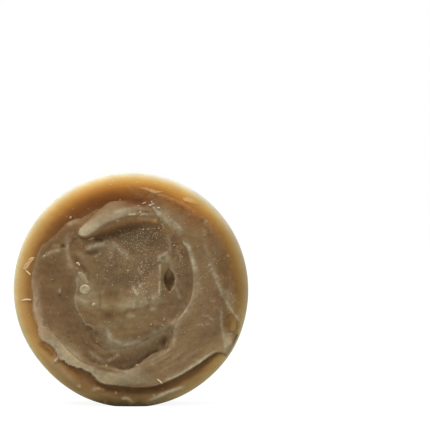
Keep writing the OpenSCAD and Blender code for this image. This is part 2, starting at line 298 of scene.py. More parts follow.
SWEEP_STROKES = [
    # the pale ridge along its inner edge
    ([(17.4, 16.2), (18.4, 15.4), (19.6, 15)], 0.3, 0.4, 0.3, 0.9),
    ([(18.6, 17.2), (19.4, 15.4), (20.1, 13.2), (20.7, 11.2), (21.4, 9.2), (21.8, 7), (21.9, 4.6)],
     0.6, 0.4, 0.35, 0.8),
    ([(21.9, 7.4), (22, 2.6), (21.4, -1.8), (20, -5.2), (17.8, -8.4)], 1.3, 0.6, 0.12, 0.28),
    ([(19.6, -5.6), (17.4, -8.6), (15.2, -10.9), (13, -12.8)], 0.9, 1.1, 0.12, 0.4),
    # veils round its upper end
    ([(6.4, 28.6), (7.8, 27.4), (9.2, 25.9), (10.2, 24.9)], 0.9, 0.8, 0.25, 0.75),
    ([(8.2, 26.4), (10.2, 24.8), (12.4, 23.1), (14.6, 21.4), (16.6, 19.8), (18.2, 18.4)],
     0.7, 0.8, 0.25, 0.5),
    ([(12.8, 24.4), (14.8, 22.9), (16.4, 21.3), (17.6, 19.8)], 0.25, 0.35, 0.2, 0.5),
    ([(8.6, 26.1), (9.4, 25.3), (10.4, 24.8)], 0.3, 0.3, 0.2, 0.7),
    # the long crease down the right, and the lower ground beyond it
    ([(24.7, 22.6), (24.9, 19), (25.5, 15), (26.4, 11.4), (27.2, 9)], 0.5, 0.5, 0.1, 0.22),
    ([(26.2, 10.6), (27.6, 6.8), (28.7, 3.8), (30, 0.8), (31.2, -1.8), (32.6, -4.6)], 0.9, 0.4, 0.2, 0.6),
    ([(31.8, -3), (33.6, -6.2), (35.2, -8.4), (36.6, -10.1), (38.9, -12)], 0.4, 0.3, 0.3, 0.85),
    ([(28.5, 20), (29.7, 14), (32, 6), (35, -2), (37.4, -7)], 2.6, 2.2, -0.4, -0.05),
    ([(32.4, 0.8), (34, -2.6), (35.4, -5)], 0.9, 1.0, 0.1, 0.3),
    ([(24, 24.2), (24.4, 23), (24.5, 22.1)], 0.3, 0.35, -0.3, -0.45),
    ([(24.8, 22.1), (25.2, 22.9), (26.4, 23.5)], 0.3, 0.3, 0.2, 0.55),
    ([(27, 21.6), (27.2, 20), (27.4, 18.6)], 0.25, 0.3, 0.1, 0.25),
    ([(32.3, 10.9), (33, 11.5), (33.6, 10.9)], 0.25, 0.25, 0.1, 0.5),
    # the facet at the lower right
    ([(30.9, -4.6), (30.9, -8.6), (31, -12), (31.6, -15.4), (32.1, -18.4), (32.7, -22)],
     0.35, 0.4, 0.25, 0.6),
    ([(32.4, -14), (33.4, -17.4), (33.6, -21)], 0.6, 0.9, 0.15, 0.4),
    ([(33.6, -8), (34.4, -11.4), (33.6, -14)], 1.5, 1.6, -0.45, -0.2),
    # the cream band along the bottom, with a sharp upper border
    ([(-17.6, -25.2), (-14, -26.8), (-10.4, -28), (-6.4, -28.7), (-3, -28.8), (0, -28.1), (2.6, -27.1),
      (6.4, -25.8)], 0.6, 1.9, 0.25, 0.42),
    ([(-29.4, -12.6), (-27.4, -15.2), (-24.6, -17.7), (-21.6, -20.2), (-19, -22.4), (-17.2, -24)],
     0.9, 2.2, 0.2, 0.4),
    ([(-12, -26.2), (-8, -27.3), (-4, -27.6), (-1, -27.2)], 0.6, 0.6, -0.25, -0.25),
    # drag marks below the trough and round its pit
    ([(13.9, -19.4), (11.4, -21.5), (8.6, -23), (5.6, -24.5)], 0.35, 0.35, 0.15, 0.4),
    ([(15, -20.8), (12, -22.8), (8.4, -24.6), (5, -26)], 0.3, 0.4, 0.1, 0.22),
    ([(20.4, -18.8), (15.6, -22.6), (11, -25.2)], 0.3, 0.5, 0.12, 0.25),
    ([(24.4, -19.2), (19, -23), (14, -25.8), (9, -28)], 0.35, 0.5, 0.12, 0.22),
    ([(14.6, -12), (14.9, -14.6), (14.8, -17), (14, -19.4)], 0.5, 0.6, 0.1, 0.34),
    ([(16.6, -10.6), (15.8, -13.4), (15.7, -16)], 0.4, 0.6, 0.12, 0.28),
    ([(19.4, 12.8), (20.8, 10), (22.6, 6)], 0.4, 0.9, 0.15, 0.2),
    ([(22, -12), (23.6, -11.7), (25, -11.9)], 0.25, 0.25, 0.1, 0.4),
    ([(25.2, -11.8), (26, -11.5), (27.2, -11.6)], 0.25, 0.25, 0.1, 0.35),
    ([(26.6, -9.2), (27.6, -9.9), (28.6, -10.4)], 0.25, 0.3, 0.1, 0.4),
    ([(24, -8.5), (25.4, -8.8), (27, -8.7)], 0.2, 0.25, 0.08, 0.25),
    ([(28, -6.4), (28.8, -5.9), (29.8, -6.1)], 0.2, 0.25, 0.08, 0.3),
    ([(26.8, -3.8), (27.8, -3.4), (29, -3.7)], 0.2, 0.25, 0.08, 0.3),
    # the pale lip above the open groove
    ([(9.8, -31.6), (11.9, -31), (15.4, -29.4), (19.4, -27.1), (22.8, -24.9), (25.8, -22.9),
      (28.4, -21.3), (30.4, -20.6)], 0.8, 0.5, 0.15, 0.65),
]
SWEEP_SPOTS = [
    ((28.6, 22.1), (0.32, 0.32), 0, -0.3, -1.1),
    ((33, 10.2), (0.5, 0.8), 20, -0.35, -0.5),
    ((26.7, 8.2), (0.5, 0.35), 20, 0.1, 0.6),
    ((22.8, 2.2), (1.0, 0.5), 0, 0, 0.3),
    ((34, -14.9), (0.5, 0.3), 0, 0, 0.5),
    ((28.4, 10.4), (0.6, 0.3), 20, 0.05, 0.4),
]

TONGUE_STROKES = [
    # a paler streak along the outer side, from the tip
    ([(-17, 19.4), (-15.6, 21.2), (-13.6, 23.2), (-11.6, 24.9), (-9.6, 26.4), (-7, 27.6)],
     0.9, 0.9, 0, 0.25),
    ([(-7, 26), (-3.6, 26.7), (-1, 27.5), (2, 28.1), (4.4, 28), (6.8, 27.6)], 0.5, 0.5, 0.25, 0.5),
    ([(1.6, 26.4), (3.4, 26.4), (5.4, 26.3), (7.2, 26.1)], 0.3, 0.35, -0.4, -0.5),
    ([(-0.8, 25.4), (0.6, 25.5), (2.2, 25.6)], 0.16, 0.16, 0.1, 1.0),
    ([(3.4, 25.6), (4.8, 25.6), (6.6, 25.4)], 0.14, 0.16, 0.1, 0.7),
]
TONGUE_SPOTS = [
    # the first spot is painted shade that darkens the wave's upturned slope
    ((-1.6, 28.8), (4, 1.3), -4, 0, -0.4),
    ((-16.6, 18.9), (1.4, 1.0), 40, 0.1, 0.35),
    ((-4.3, 23.2), (0.35, 0.3), 0, 0.1, 0.6),
]

BASE_STROKES = [
    # the wavy inner lip of the rim at the bottom, and the lumps in the groove
    ([(3, -38.7), (5, -38.3), (7.5, -37.2), (10, -36), (12, -34.9), (14, -34.2), (16, -33.7),
      (19.4, -32.5)], 0.5, 0.7, 0.5, 1.0),
    ([(-12.6, -34.9), (-12, -33.8), (-10.6, -33.4), (-9.4, -33.7), (-8.9, -34.8)], 0.6, 0.6, 0.7, 0.6),
    ([(-3.4, -37.5), (-2.2, -36.8), (-0.8, -36.9), (0.4, -37.9), (1.8, -38.6)], 0.4, 0.6, 0.5, 0.9),
    ([(-5.2, -35.4), (-4.9, -34.8), (-4.5, -34.1)], 0.4, 0.45, 0.5, 0.7),
    ([(-18.2, -32.4), (-17.6, -32.9), (-16.6, -33)], 0.4, 0.4, 0.3, 0.3),
    # the pale border outside the gap at the lower left
    ([(-31, -18.2), (-28.6, -21.8), (-26.2, -24.6), (-23, -27.6), (-19.4, -30.4), (-15.4, -33)],
     0.8, 0.9, 0.15, 0.4),
    # faint smears from the top edge down to the sweep's start
    ([(-1.6, 36.4), (-0.8, 34.6), (1, 33.2), (3.6, 32), (6.4, 30.8)], 0.4, 0.5, 0.05, 0.16),
    ([(0.4, 36.4), (2, 35.2), (3.6, 34.4)], 0.4, 0.45, 0.05, 0.18),
    # the first stretch of the groove at the lower left, and the thread of soap that ends it
    ([(-30.8, -17.2), (-29.6, -19), (-27.8, -21), (-25.8, -23)], 0.9, 0.9, -0.5, -0.5),
    ([(-25.8, -24.6), (-24.9, -23.7), (-24, -22.8)], 0.4, 0.45, 0.9, 1.1),
    # the shaded foot
    ([(-15.6, -37.4), (-11, -38.9), (-5, -39.8), (1, -40), (8, -39.5)], 1.3, 1.3, 0, -0.75),
    ([(-16, -36), (-10, -37.6), (-3, -38.4), (4, -38.4), (10, -37.4)], 1.8, 1.8, 0, -0.16),
    # the brown floor of the groove along the bottom
    ([(-24, -25), (-20.4, -28.2), (-15.5, -31), (-10, -33.2), (-4, -34.5), (3, -34.7), (9, -33.7),
      (15, -31.6), (19, -29.6)], 1.6, 1.3, 0, -0.3),
]
BASE_SPOTS = [
    ((8, -35.6), (0.4, 0.5), 0, 0.2, 0.5),
    ((6, -35), (4, 0.8), 8, 0, 0.3),
    ((2.6, -38.9), (0.5, 0.3), 0, 0.2, 0.5),
    ((-17.2, -32.8), (0.8, 0.6), 20, 0.2, 0.2),
]

# Spot heights of the face, which the strokes are laid on: u, v, w
FACE_LEVELS = [
    (0, 10, 21), (5, 15, 20.9), (-4, 14, 21.4), (0, 4, 21.2), (7, 7, 21.2), (-6, 5, 21.5),
    (3, -4, 22.4), (-5, -4, 22.1), (8, -3, 22.2), (-9, 10, 21.7), (-14, 13, 22), (-14, 8, 22.1),
    (-16, 2, 22.6), (-15, -5, 22.5), (-11, -10, 22.3), (-4, -14, 22.1), (3, -12, 22.2), (9, -9, 22.1),
    (14, -6, 21.7), (17.5, 3, 21.5), (17, 10, 21.7), (17, -3, 21.6), (13, 13, 21.9), (11.5, 4, 21.9),
    (24, 6, 23), (24, -4, 23), (20, -12, 22.9), (22, 14, 22.9), (16, 22, 22.8), (28, 0, 22.8),
    (27, 10, 22.5), (27, -10, 22.8), (20, -19, 22.7), (13, -22, 22.6), (33, 8, 21.9), (35, -2, 22),
    (30, 18, 22), (34, -12, 21.7), (28, -19, 22.4), (5, -29, 22.8), (-3, -30, 22.7), (-10, -29, 22.3),
    (-17, -25.5, 22.1), (-23, -21, 21.9), (-28, -15, 21.7), (0, -22.5, 21.1), (-6, -22.5, 21.1),
    (6, -20, 21.2), (10.5, -17.6, 21.2), (-13, -19, 21.3), (-27, 4, 20.6), (-27, -4, 20.7),
    (-24, -11, 20.9), (-19, -16, 21.1), (-26, 11, 20.8), (-31.5, 0, 21.4), (-31, -8, 21.5),
    (-30, 10, 21.2), (-22, 0, 21.2), (-20, -8, 21.3), (-20, 19, 21.5), (-24, 18, 20.9), (-15, 26, 20.4),
    (-7, 30, 20.3), (2, 31, 20.8), (10, 31, 21.9), (18, 28, 22.1), (25, 24, 22), (-8, 19, 21.4),
    (0, 21, 21.6), (7, 22, 21.8), (13, 18, 22), (-14, 18, 21.9)]
# How far each of them reaches, in mm
LEVEL_SPREAD = 3.4


# A stroke is laid lower and wider than it is listed, and its tint spreads wider than its ridge
RISE_SHARE = 0.7
RIDGE_WIDTH = 1.25
TINT_WIDTH = 1.3
TINT_MARGIN = 0.08


def relief(u, v, strokes, spots):
    """Height and tint of a list of strokes and spots. The tint pales ridges, partly as a painted
    highlight, and darkens hollows and creases as painted shade. The tint is broken up, as a dry veil is.
    """
    height = np.zeros(u.shape)
    tint = np.zeros(u.shape)
    for points, left, right, rise, shade in strokes:
        height += RISE_SHARE * rise * stroke(u, v, points, RIDGE_WIDTH * left, RIDGE_WIDTH * right)
        tint += shade * stroke(u, v, points, TINT_WIDTH * left + TINT_MARGIN,
                               TINT_WIDTH * right + TINT_MARGIN)
    for at, radii, turn, rise, shade in spots:
        bell = spot(u, v, at, radii, turn)
        height += RISE_SHARE * rise * bell
        tint += shade * bell
    veil = 0.9 + 0.3 * ripple(u, v, 1.1, 7) + 0.2 * ripple(u, v, 0.5, 8)
    return height, tint * np.clip(veil, 0.3, 1.4)


def face_level(u, v):
    """The smooth ground of the spread soap, blended between the spot heights."""
    total = np.zeros(u.shape)
    weights = np.full(u.shape, 1e-9)
    for at_u, at_v, w in FACE_LEVELS:
        weight = np.exp(-((u - at_u) ** 2 + (v - at_v) ** 2) / LEVEL_SPREAD ** 2) + 1e-7
        total += weight * w
        weights += weight
    return total / weights + 0.08 * ripple(u, v, 4, 20) + 0.035 * ripple(u, v, 1.6, 21)


# ---- colour of the surfaces, as linear light ----

# What a tint of 1 goes towards (pale soap and a painted highlight), what one of -1 goes towards (painted
# shade), and the spread soap's plain tone
PALE_AND_HIGHLIGHT = linear(170, 162, 135)
PAINTED_SHADE = linear(70, 48, 28)
TAUPE = linear(122, 98, 67)

# Depths in from the puck's edge in mm, and angles round it in degrees
RIM_STOPS = [0, 0.6, 1.5, 2.5, 4, 5.5, 7, 9, 11]
RIM_ANGLES = [-180, -150, -120, -90, -60, -30, 0, 30, 60, 90, 120, 150, 180]
# Painted light: how bright the rim is at each of those angles, as the light falls round it
RIM_PAINTED_LIGHT = [1.04, 1.22, 0.99, 0.93, 1.16, 1.3, 1.03, 0.97, 1.06, 0.97, 0.95, 0.9, 1.04]
# Four mixes, lit and shaded copies of the amber, with a painted backlit glow at the edge and painted
# shade deeper in: the colours at those depths, and how much of the mix shows at those angles
RIM_LIT_MIXES = [
    # at the top
    ([(199, 199, 197), (190, 188, 172), (194, 172, 124), (188, 152, 84), (184, 130, 60), (168, 114, 52),
      (154, 99, 46), (134, 83, 43), (120, 82, 50)],
     [0, 0, 0, 0, 0, 0, 0, 0.32, 0.85, 1, 0.9, 0.2, 0]),
    # at the left
    ([(208, 198, 164), (196, 180, 134), (188, 162, 108), (178, 144, 90), (166, 128, 72), (143, 106, 58),
      (138, 100, 58), (132, 98, 64), (124, 96, 66)],
     [1, 0.9, 0.1, 0, 0, 0, 0, 0, 0, 0, 0.1, 0.8, 1]),
    # at the right
    ([(180, 164, 124), (174, 156, 116), (164, 138, 88), (148, 119, 68), (126, 95, 54), (121, 90, 55),
      (122, 92, 60), (124, 98, 68), (124, 98, 68)],
     [0, 0, 0, 0, 0, 0.8, 1, 0.68, 0.15, 0, 0, 0, 0]),
    # along the open groove, its floor painted lighter against its shade and its crest darker
    ([(184, 163, 118), (183, 161, 111), (163, 138, 90), (134, 110, 69), (128, 98, 60), (142, 106, 65),
      (166, 123, 79), (130, 98, 66), (120, 90, 60)],
     [0, 0.1, 0.9, 1, 1, 0.2, 0, 0, 0, 0, 0, 0, 0])]


def amber(u, v):
    """The cast soap: pale and clear at the puck's edge, deeper and browner inwards. The pale edge is a
    painted backlit glow, the brown depth is partly painted shade, and the brightness by angle is painted
    light.
    """
    depth, degrees = PUCK_R - np.hypot(u, v), np.degrees(np.arctan2(v, u))
    colour = np.zeros(u.shape + (3,))
    for colours, shares in RIM_LIT_MIXES:
        channels = np.array([linear(*c) for c in colours]).T
        stops = np.stack([np.interp(depth, RIM_STOPS, channel) for channel in channels], -1)
        colour += stops * np.interp(degrees, RIM_ANGLES, shares)[..., None]
    painted_light = np.interp(degrees, RIM_ANGLES, RIM_PAINTED_LIGHT)
    return colour * (painted_light + 0.035 * ripple(u, v, 5, 61) + 0.015 * ripple(u, v, 1.8, 62))[..., None]


# Patches of tone on the spread soap, some of them painted shade and some painted light, as noted below:
# place, radii, turn, colour, strength
TONES = [
    # the smooth crescent at the left
    ((-26, 3), (6.5, 11), 0, (110, 86, 58), 0.95), ((-25, -9), (6, 6), 20, (116, 90, 62), 0.9),
    ((-30.4, 3), (2.4, 6), 0, (121, 92, 60), 0.8), ((-20.6, -1), (2.6, 7), 0, (106, 83, 56), 0.9),
    ((-18, -14), (6, 4), -40, (114, 90, 62), 0.9), ((-27, 14.4), (4, 2.4), 40, (121, 89, 56), 0.8),
    ((-19, 13), (3, 6), 0, (116, 90, 60), 0.9), ((-21, 20.6), (5, 3), 42, (114, 86, 56), 0.9),
    # along the top, behind the tongue, where the dark brown is painted shade, and the slope at the lower
    # left
    ((-15, 25.4), (7, 2.2), 30, (128, 96, 62), 0.9), ((-4, 30.5), (8, 2), 0, (117, 78, 46), 0.9),
    ((6, 30.2), (5, 1.8), -5, (120, 80, 46), 0.9), ((2.6, 30.4), (2.8, 1.3), 0, (100, 56, 28), 0.9),
    ((-13, -21.6), (6, 3), -40, (111, 86, 57), 0.7),
    # the mound's left side
    ((-15, 15.4), (3, 3), 0, (114, 89, 60), 0.8), ((-14.5, 9), (3, 3), 0, (120, 98, 68), 0.7),
    ((-14.5, -3.4), (4, 2.6), 10, (142, 123, 89), 0.8), ((-15.4, 2), (2.4, 4), 15, (144, 126, 96), 0.6),
    ((-10, -5), (3, 2), 0, (140, 122, 90), 0.7),
    # the scoop and what is round it, with painted shade under the tongue and down the scoop's right wall
    ((-8, 9), (4, 5), 0, (113, 92, 65), 0.8), ((-3, 3), (6, 3), 0, (106, 87, 62), 0.9),
    ((-3.6, 13.6), (4, 2), -38, (124, 103, 74), 0.7), ((6.5, 16), (6, 4.5), 0, (104, 83, 58), 0.9),
    ((6, 8), (3.4, 4), 0, (108, 89, 64), 0.8), ((6, 1), (3, 3), 0, (117, 96, 68), 0.6),
    ((0, -5.2), (6, 1.7), 3, (146, 128, 93), 0.8), ((5, -5), (4, 2), -10, (134, 114, 82), 0.7),
    ((-7, -8.4), (3.6, 1.6), -6, (116, 90, 60), 0.8), ((1, -10.6), (6, 2.4), 5, (134, 113, 82), 0.7),
    ((0, -14.6), (6, 2.6), 0, (123, 99, 67), 0.8), ((-4, 20), (10, 2.4), 14, (93, 70, 45), 0.95),
    ((9, 19), (3, 3), -20, (97, 75, 50), 0.9), ((-10.6, 18.6), (3, 1.2), 5, (112, 86, 56), 0.8),
    ((0, 18.2), (5, 1.4), 14, (101, 80, 55), 0.8), ((12.6, 20.6), (2, 3), -20, (131, 102, 67), 0.8),
    ((12, 15), (2, 4), 0, (110, 87, 60), 0.7), ((12.2, 10.6), (1.8, 1.8), 0, (134, 115, 85), 0.8),
    ((14.8, 8.8), (1.6, 1.2), -30, (120, 98, 69), 0.6),
    # the mound's right side and its lower edge, darker as painted shade
    ((17.8, 2), (2.4, 8), -3, (115, 94, 66), 0.9), ((16.4, 14.4), (1.8, 4), 10, (117, 90, 59), 0.9),
    ((14, -7.6), (5, 3), -42, (114, 91, 64), 0.9), ((8, -12), (5, 2), 20, (126, 103, 74), 0.7),
    # the trough, darker as painted shade, and the bands along the bottom
    ((2, -22.4), (8.5, 2.8), 24, (112, 92, 66), 0.95), ((-4.4, -25), (4.6, 1.6), 8, (94, 72, 47), 0.9),
    ((9, -18.6), (4, 1.8), 20, (112, 90, 62), 0.9), ((-5, -20), (4.6, 1.6), 10, (148, 128, 97), 0.8),
    ((-7, -27.2), (8, 1.2), -6, (128, 105, 76), 0.8),
    ((-20.2, -23), (6.5, 2.6), -38, (167, 149, 116), 0.95),
    ((-10, -29.8), (7, 1.8), -12, (157, 139, 105), 0.95), ((2, -30.2), (7, 2), 0, (143, 127, 97), 0.8),
    ((-26.8, -16.5), (3, 3), -50, (146, 122, 88), 0.7),
    ((7.6, -16.4), (6, 1.3), 22, (128, 108, 78), 0.7), ((-8, -22.6), (5, 1.2), 8, (104, 81, 54), 0.8),
    ((10, -22), (4, 1.4), 30, (117, 94, 65), 0.7), ((0.6, -32.8), (9, 1), 0, (108, 87, 61), 0.85),
    # pale spots on the mound
    ((-13.4, -2.2), (2.4, 2.4), 0, (144, 126, 95), 0.8),
    ((3.6, -1), (1.4, 1.4), 0, (138, 119, 88), 0.6),
    ((8.2, -2.6), (2.2, 1.6), -15, (148, 129, 99), 0.8),
    # the crescent's border, the top left, and the pale ridges under the mound, lighter as a painted
    # highlight
    ((-32.8, 5), (1.5, 7), -10, (131, 100, 64), 0.95),
    ((-28.6, 15.2), (5.6, 1.5), 48, (131, 99, 63), 0.95),
    ((-18, 24), (3, 1.2), 35, (128, 100, 69), 0.7), ((-1, -18), (6, 1.3), 0, (146, 127, 96), 0.8),
    ((5, -16.2), (3.4, 1.2), 30, (138, 117, 87), 0.75),
    ((11, -14.4), (3.2, 1.2), 28, (134, 113, 84), 0.75),
    ((-14.6, 17), (3, 1.2), 0, (134, 107, 74), 0.7), ((-6, -12), (1.6, 1.4), 0, (142, 121, 90), 0.6),
    # the sweep up the right
    ((15, -27), (8, 2.4), 28, (137, 111, 78), 0.7), ((25, 5), (4.4, 10), 0, (129, 105, 75), 0.7),
    ((26, -9), (5, 7), 0, (127, 103, 74), 0.8), ((18, -17), (6, 5), 40, (133, 109, 78), 0.8),
    ((32, 7), (3, 9), -10, (115, 87, 55), 0.9), ((35, -5), (2, 4), -20, (130, 106, 70), 0.7),
    ((33.6, -11), (2.2, 3.6), 10, (122, 93, 54), 0.85),
    ((36.8, -13), (1.2, 5), 15, (128, 102, 60), 0.7),
    ((32.8, -21.6), (1.6, 1.6), 0, (160, 140, 106), 0.9),
    ((33.6, -18.8), (1.8, 2.6), 10, (164, 144, 108), 0.8),
    ((26.5, -20.4), (4, 2), 38, (143, 120, 81), 0.7),
    ((30.2, -19.8), (2.2, 1.6), 30, (154, 132, 96), 0.8),
    ((14, 29.8), (6, 2.4), -25, (134, 93, 52), 0.9), ((18.6, 27.2), (3.4, 2), -35, (119, 77, 40), 0.9),
    ((12, 25.4), (4.4, 1.6), -40, (136, 115, 87), 0.6), ((17, 21.5), (3, 3), -40, (139, 117, 87), 0.7),
    ((17.8, -5.4), (1.8, 1.2), 50, (134, 114, 84), 0.6), ((14, -13), (2, 1.2), 35, (130, 109, 80), 0.6),
    ((21.4, 24.4), (3.4, 4), 0, (128, 92, 57), 0.9), ((26.6, 20), (3, 4), 0, (122, 90, 56), 0.8),
    ((21, 17), (2.4, 3), 0, (124, 100, 69), 0.7),
    # the lip down the left
    ((-32.2, -5.5), (1.6, 8), 3, (164, 140, 110), 0.95),
    ((-30.4, -13), (1.5, 4.4), 12, (170, 146, 115), 0.95)]


def taupe(u, v):
    """The spread soap, with its broad patches of tone, some of them painted shade and some painted light.
    """
    colour = np.broadcast_to(TAUPE, u.shape + (3,)).copy()
    for at, radii, turn, tone, strength in TONES:
        share = np.clip(strength * 1.2 * spot(u, v, at, radii, turn), 0, strength)
        colour = mix(colour, linear(*tone), share[..., None])
    return colour


# How far a full tint goes, and how bright it all is before it is clouded
TINT_SHARE = 0.85
TINTED_GAIN = 0.93


def tinted(colour, tint, u, v, seed, cloudy=1.0):
    """Paler where the soap is thin and raised, partly as a painted highlight, darker in its hollows as
    painted shade, and clouded all over.
    """
    pale_and_highlight_share, painted_shade_share = np.clip(tint, 0, 1)[..., None], np.clip(-tint, 0, 1)[..., None]
    colour = mix(mix(colour, PALE_AND_HIGHLIGHT, TINT_SHARE * pale_and_highlight_share), PAINTED_SHADE, TINT_SHARE * painted_shade_share)
    broad, middling, fine = (ripple(u, v, size, seed + i) for i, size in enumerate((4, 1.3, 0.6)))
    cloud = 0.05 * broad + 0.06 * middling + 0.05 * fine
    return colour * (TINTED_GAIN + cloudy * cloud)[..., None]


GRAIN_SPOTS = [((3, 16.5), (9, 5.5), 5, 1.0), ((0, 11), (9, 7), -20, 0.85), ((-5, 7), (5, 4), 0, 0.8),
               ((6, 7), (4, 4), 0, 1.0), ((16, 12), (2, 6), 12, 0.8), ((10.5, -11), (3, 2), 0, 0.2),
               ((5, 1), (5, 4), 0, 0.8), ((28, -6), (5, 6), 0, 0.1), ((32, 4), (4, 8), 0, 0.12)]


def grain_field(u, v):
    """Where coarse pale grains show, from 0 to 1."""
    total = np.full(u.shape, 0.03)
    for at, radii, turn, strength in GRAIN_SPOTS:
        total = np.maximum(total, strength * spot(u, v, at, radii, turn))
    return total * np.clip(0.85 + 0.35 * ripple(u, v, 2.5, 71), 0.4, 1.3)


# ---- outlines of the laps: u, v, soft edge in mm, burr height in mm, raggedness in mm ----

def run(soft, burr, ragged, *points):
    """Points of an outline that share one kind of edge."""
    return [(*point, soft, burr, ragged) for point in points]


LAYER_OUTLINE = [
    *run(0.9, 0, 0, (-33.7, 0), (-33.7, 4), (-33.1, 7.7), (-32.1, 11)),
    (-30.5, 14.6, 1, 0, 0), (-26.7, 18.6, 1.4, 0, 0), (-22.2, 22.8, 2.2, 0, 0),
    *run(3, 0, 0, (-17.4, 26), (-12.5, 28.6), (-6, 31), (2, 32.4)),
    *run(2, 0, 0, (10, 31.5), (18, 28), (25, 23), (29.5, 18), (32.5, 11), (33.5, 3), (33.5, -6)),
    *run(1, 0, 0, (31.5, -13.5), (27, -19), (20, -23), (13, -27), (5, -30), (-3, -30), (-10, -28),
         (-17, -25), (-23, -20.5), (-28, -15.5), (-30.8, -9), (-32.4, -3))]

SWEEP_OUTLINE = [
    # the inner edge, from the top round the right and the bottom to the left tail
    *run(1.6, 0, 0, (4.4, 31.4), (5.8, 30.2), (6.6, 28.8), (7.2, 27)),
    (8.4, 25, 1.8, 0, 0), (10, 23.2, 2, 0, 0), (12, 21.4, 2.2, 0, 0), (14, 19.6, 2, 0, 0),
    (15.8, 17.8, 1.6, 0, 0), (17.3, 15.9, 0.9, 0.1, 0),
    *run(1, 0.08, 0, (18.9, 13.2), (20, 9.6), (20.7, 6), (20.9, 2), (20.5, -1.6)),
    (19.3, -4.9, 1, 0.1, 0), (17.3, -7.9, 0.9, 0.12, 0), (15.2, -10.6, 1.1, 0.05, 0),
    (13.8, -12.6, 2, 0, 0), (13.2, -14.6, 3, 0, 0), (13.3, -16.6, 2.4, 0, 0), (13.3, -18.6, 1.2, 0, 0),
    (12.4, -20, 0.9, 0.02, 0), (9.6, -20.9, 0.8, 0.04, 0.1), (6.8, -22.1, 0.8, 0.04, 0.1),
    (4, -24.2, 0.8, 0.05, 0.1), (1.6, -25.9, 0.7, 0.1, 0.1), (-0.6, -26.9, 0.6, 0.1, 0.1),
    (-2.8, -27, 0.5, 0.15, 0.1), (-5.6, -26.4, 0.5, 0.15, 0.2), (-8.6, -25.4, 0.8, 0.1, 0.1),
    (-11, -25.3, 1.2, 0, 0), (-14.4, -24.4, 1.6, 0, 0), (-18.6, -21.8, 2, 0, 0),
    (-22.4, -17.8, 2, 0, 0), (-25.6, -14, 1.6, 0, 0), (-27.8, -12.3, 0.8, 0.05, 0.1),
    *run(0.5, 0.08, 0.1, (-29, -12.2), (-28.2, -11.3), (-29, -10.7), (-28.7, -9.9)),
    *run(0.6, 0.08, 0.1, (-29.8, -9), (-30.9, -6.8), (-31.4, -4.8)),
    *run(0.5, 0.08, 0.1, (-30.8, -4), (-30.9, -2.8), (-32, -2.2)),
    (-32.4, 0, 0.5, 0.1, 0.2), (-32.6, 3, 0.6, 0.05, 0),
    # the tail's tip, and the outer edge back along the bottom
    (-33.2, 4.6, 1, 0, 0), (-33.9, 1, 1.6, 0, 0), (-34.2, -4, 1.8, 0, 0), (-33.8, -9, 1.8, 0, 0),
    (-32.8, -13, 1.6, 0, 0), (-31.7, -15.6, 0.9, 0, 0.2), (-31.1, -17, 0.4, 0.1, 0.4),
    (-29.6, -17.8, 0.4, 0.2, 0.5), (-28.4, -18.4, 0.4, 0.2, 0.4), (-26.6, -19.9, 0.4, 0.2, 0.3),
    (-25.2, -21.7, 0.4, 0.2, 0.3), (-24.7, -23.3, 0.4, 0.2, 0.2), (-22.6, -24.7, 0.4, 0.25, 0.4),
    (-20.4, -26.2, 0.4, 0.25, 0.4), (-17.6, -26.9, 0.4, 0.25, 0.3), (-14.6, -28.1, 0.4, 0.25, 0.4),
    (-12.4, -30.1, 0.4, 0.25, 0.3), (-10.4, -31.7, 0.5, 0.2, 0.1), (-7.6, -32.4, 0.6, 0.15, 0),
    (-4, -32.8, 0.7, 0.1, 0), (0.4, -33.4, 0.7, 0.05, 0), (5, -33.4, 0.7, 0.05, 0),
    (9, -32.7, 0.6, 0.1, 0), (12.4, -31.4, 0.5, 0.2, 0.1),
    *run(0.4, 0.25, 0.1, (16, -29.8), (20.4, -27.3), (24.4, -24.6)),
    (28.4, -21.8, 0.4, 0.2, 0.1), (30.4, -21.4, 0.6, 0.05, 0), (31.6, -22.1, 0.7, 0.05, 0),
    (32.6, -22.6, 0.7, 0.05, 0),
    # up the right and back over the top, where it blends into the rim
    (34.9, -18.9, 1, 0, 0), (37.6, -12.8, 1.6, 0, 0), (37.8, -5.6, 3, 0, 0),
    *run(3.5, 0, 0, (37, 1), (35.9, 8.6), (33.6, 15.1), (30.4, 20.8), (26.6, 25)),
    (21.8, 28.2, 3, 0, 0), (17.4, 30.6, 2.4, 0, 0), (13.6, 32, 1.6, 0, 0.1), (10, 33.2, 1.4, 0.05, 0.1),
    (6.5, 34.2, 1.4, 0.05, 0.1), (3.6, 34.8, 1.4, 0.05, 0), (2, 33.8, 0.9, 0.12, 0),
    (2.8, 32.6, 0.8, 0.12, 0.1)]

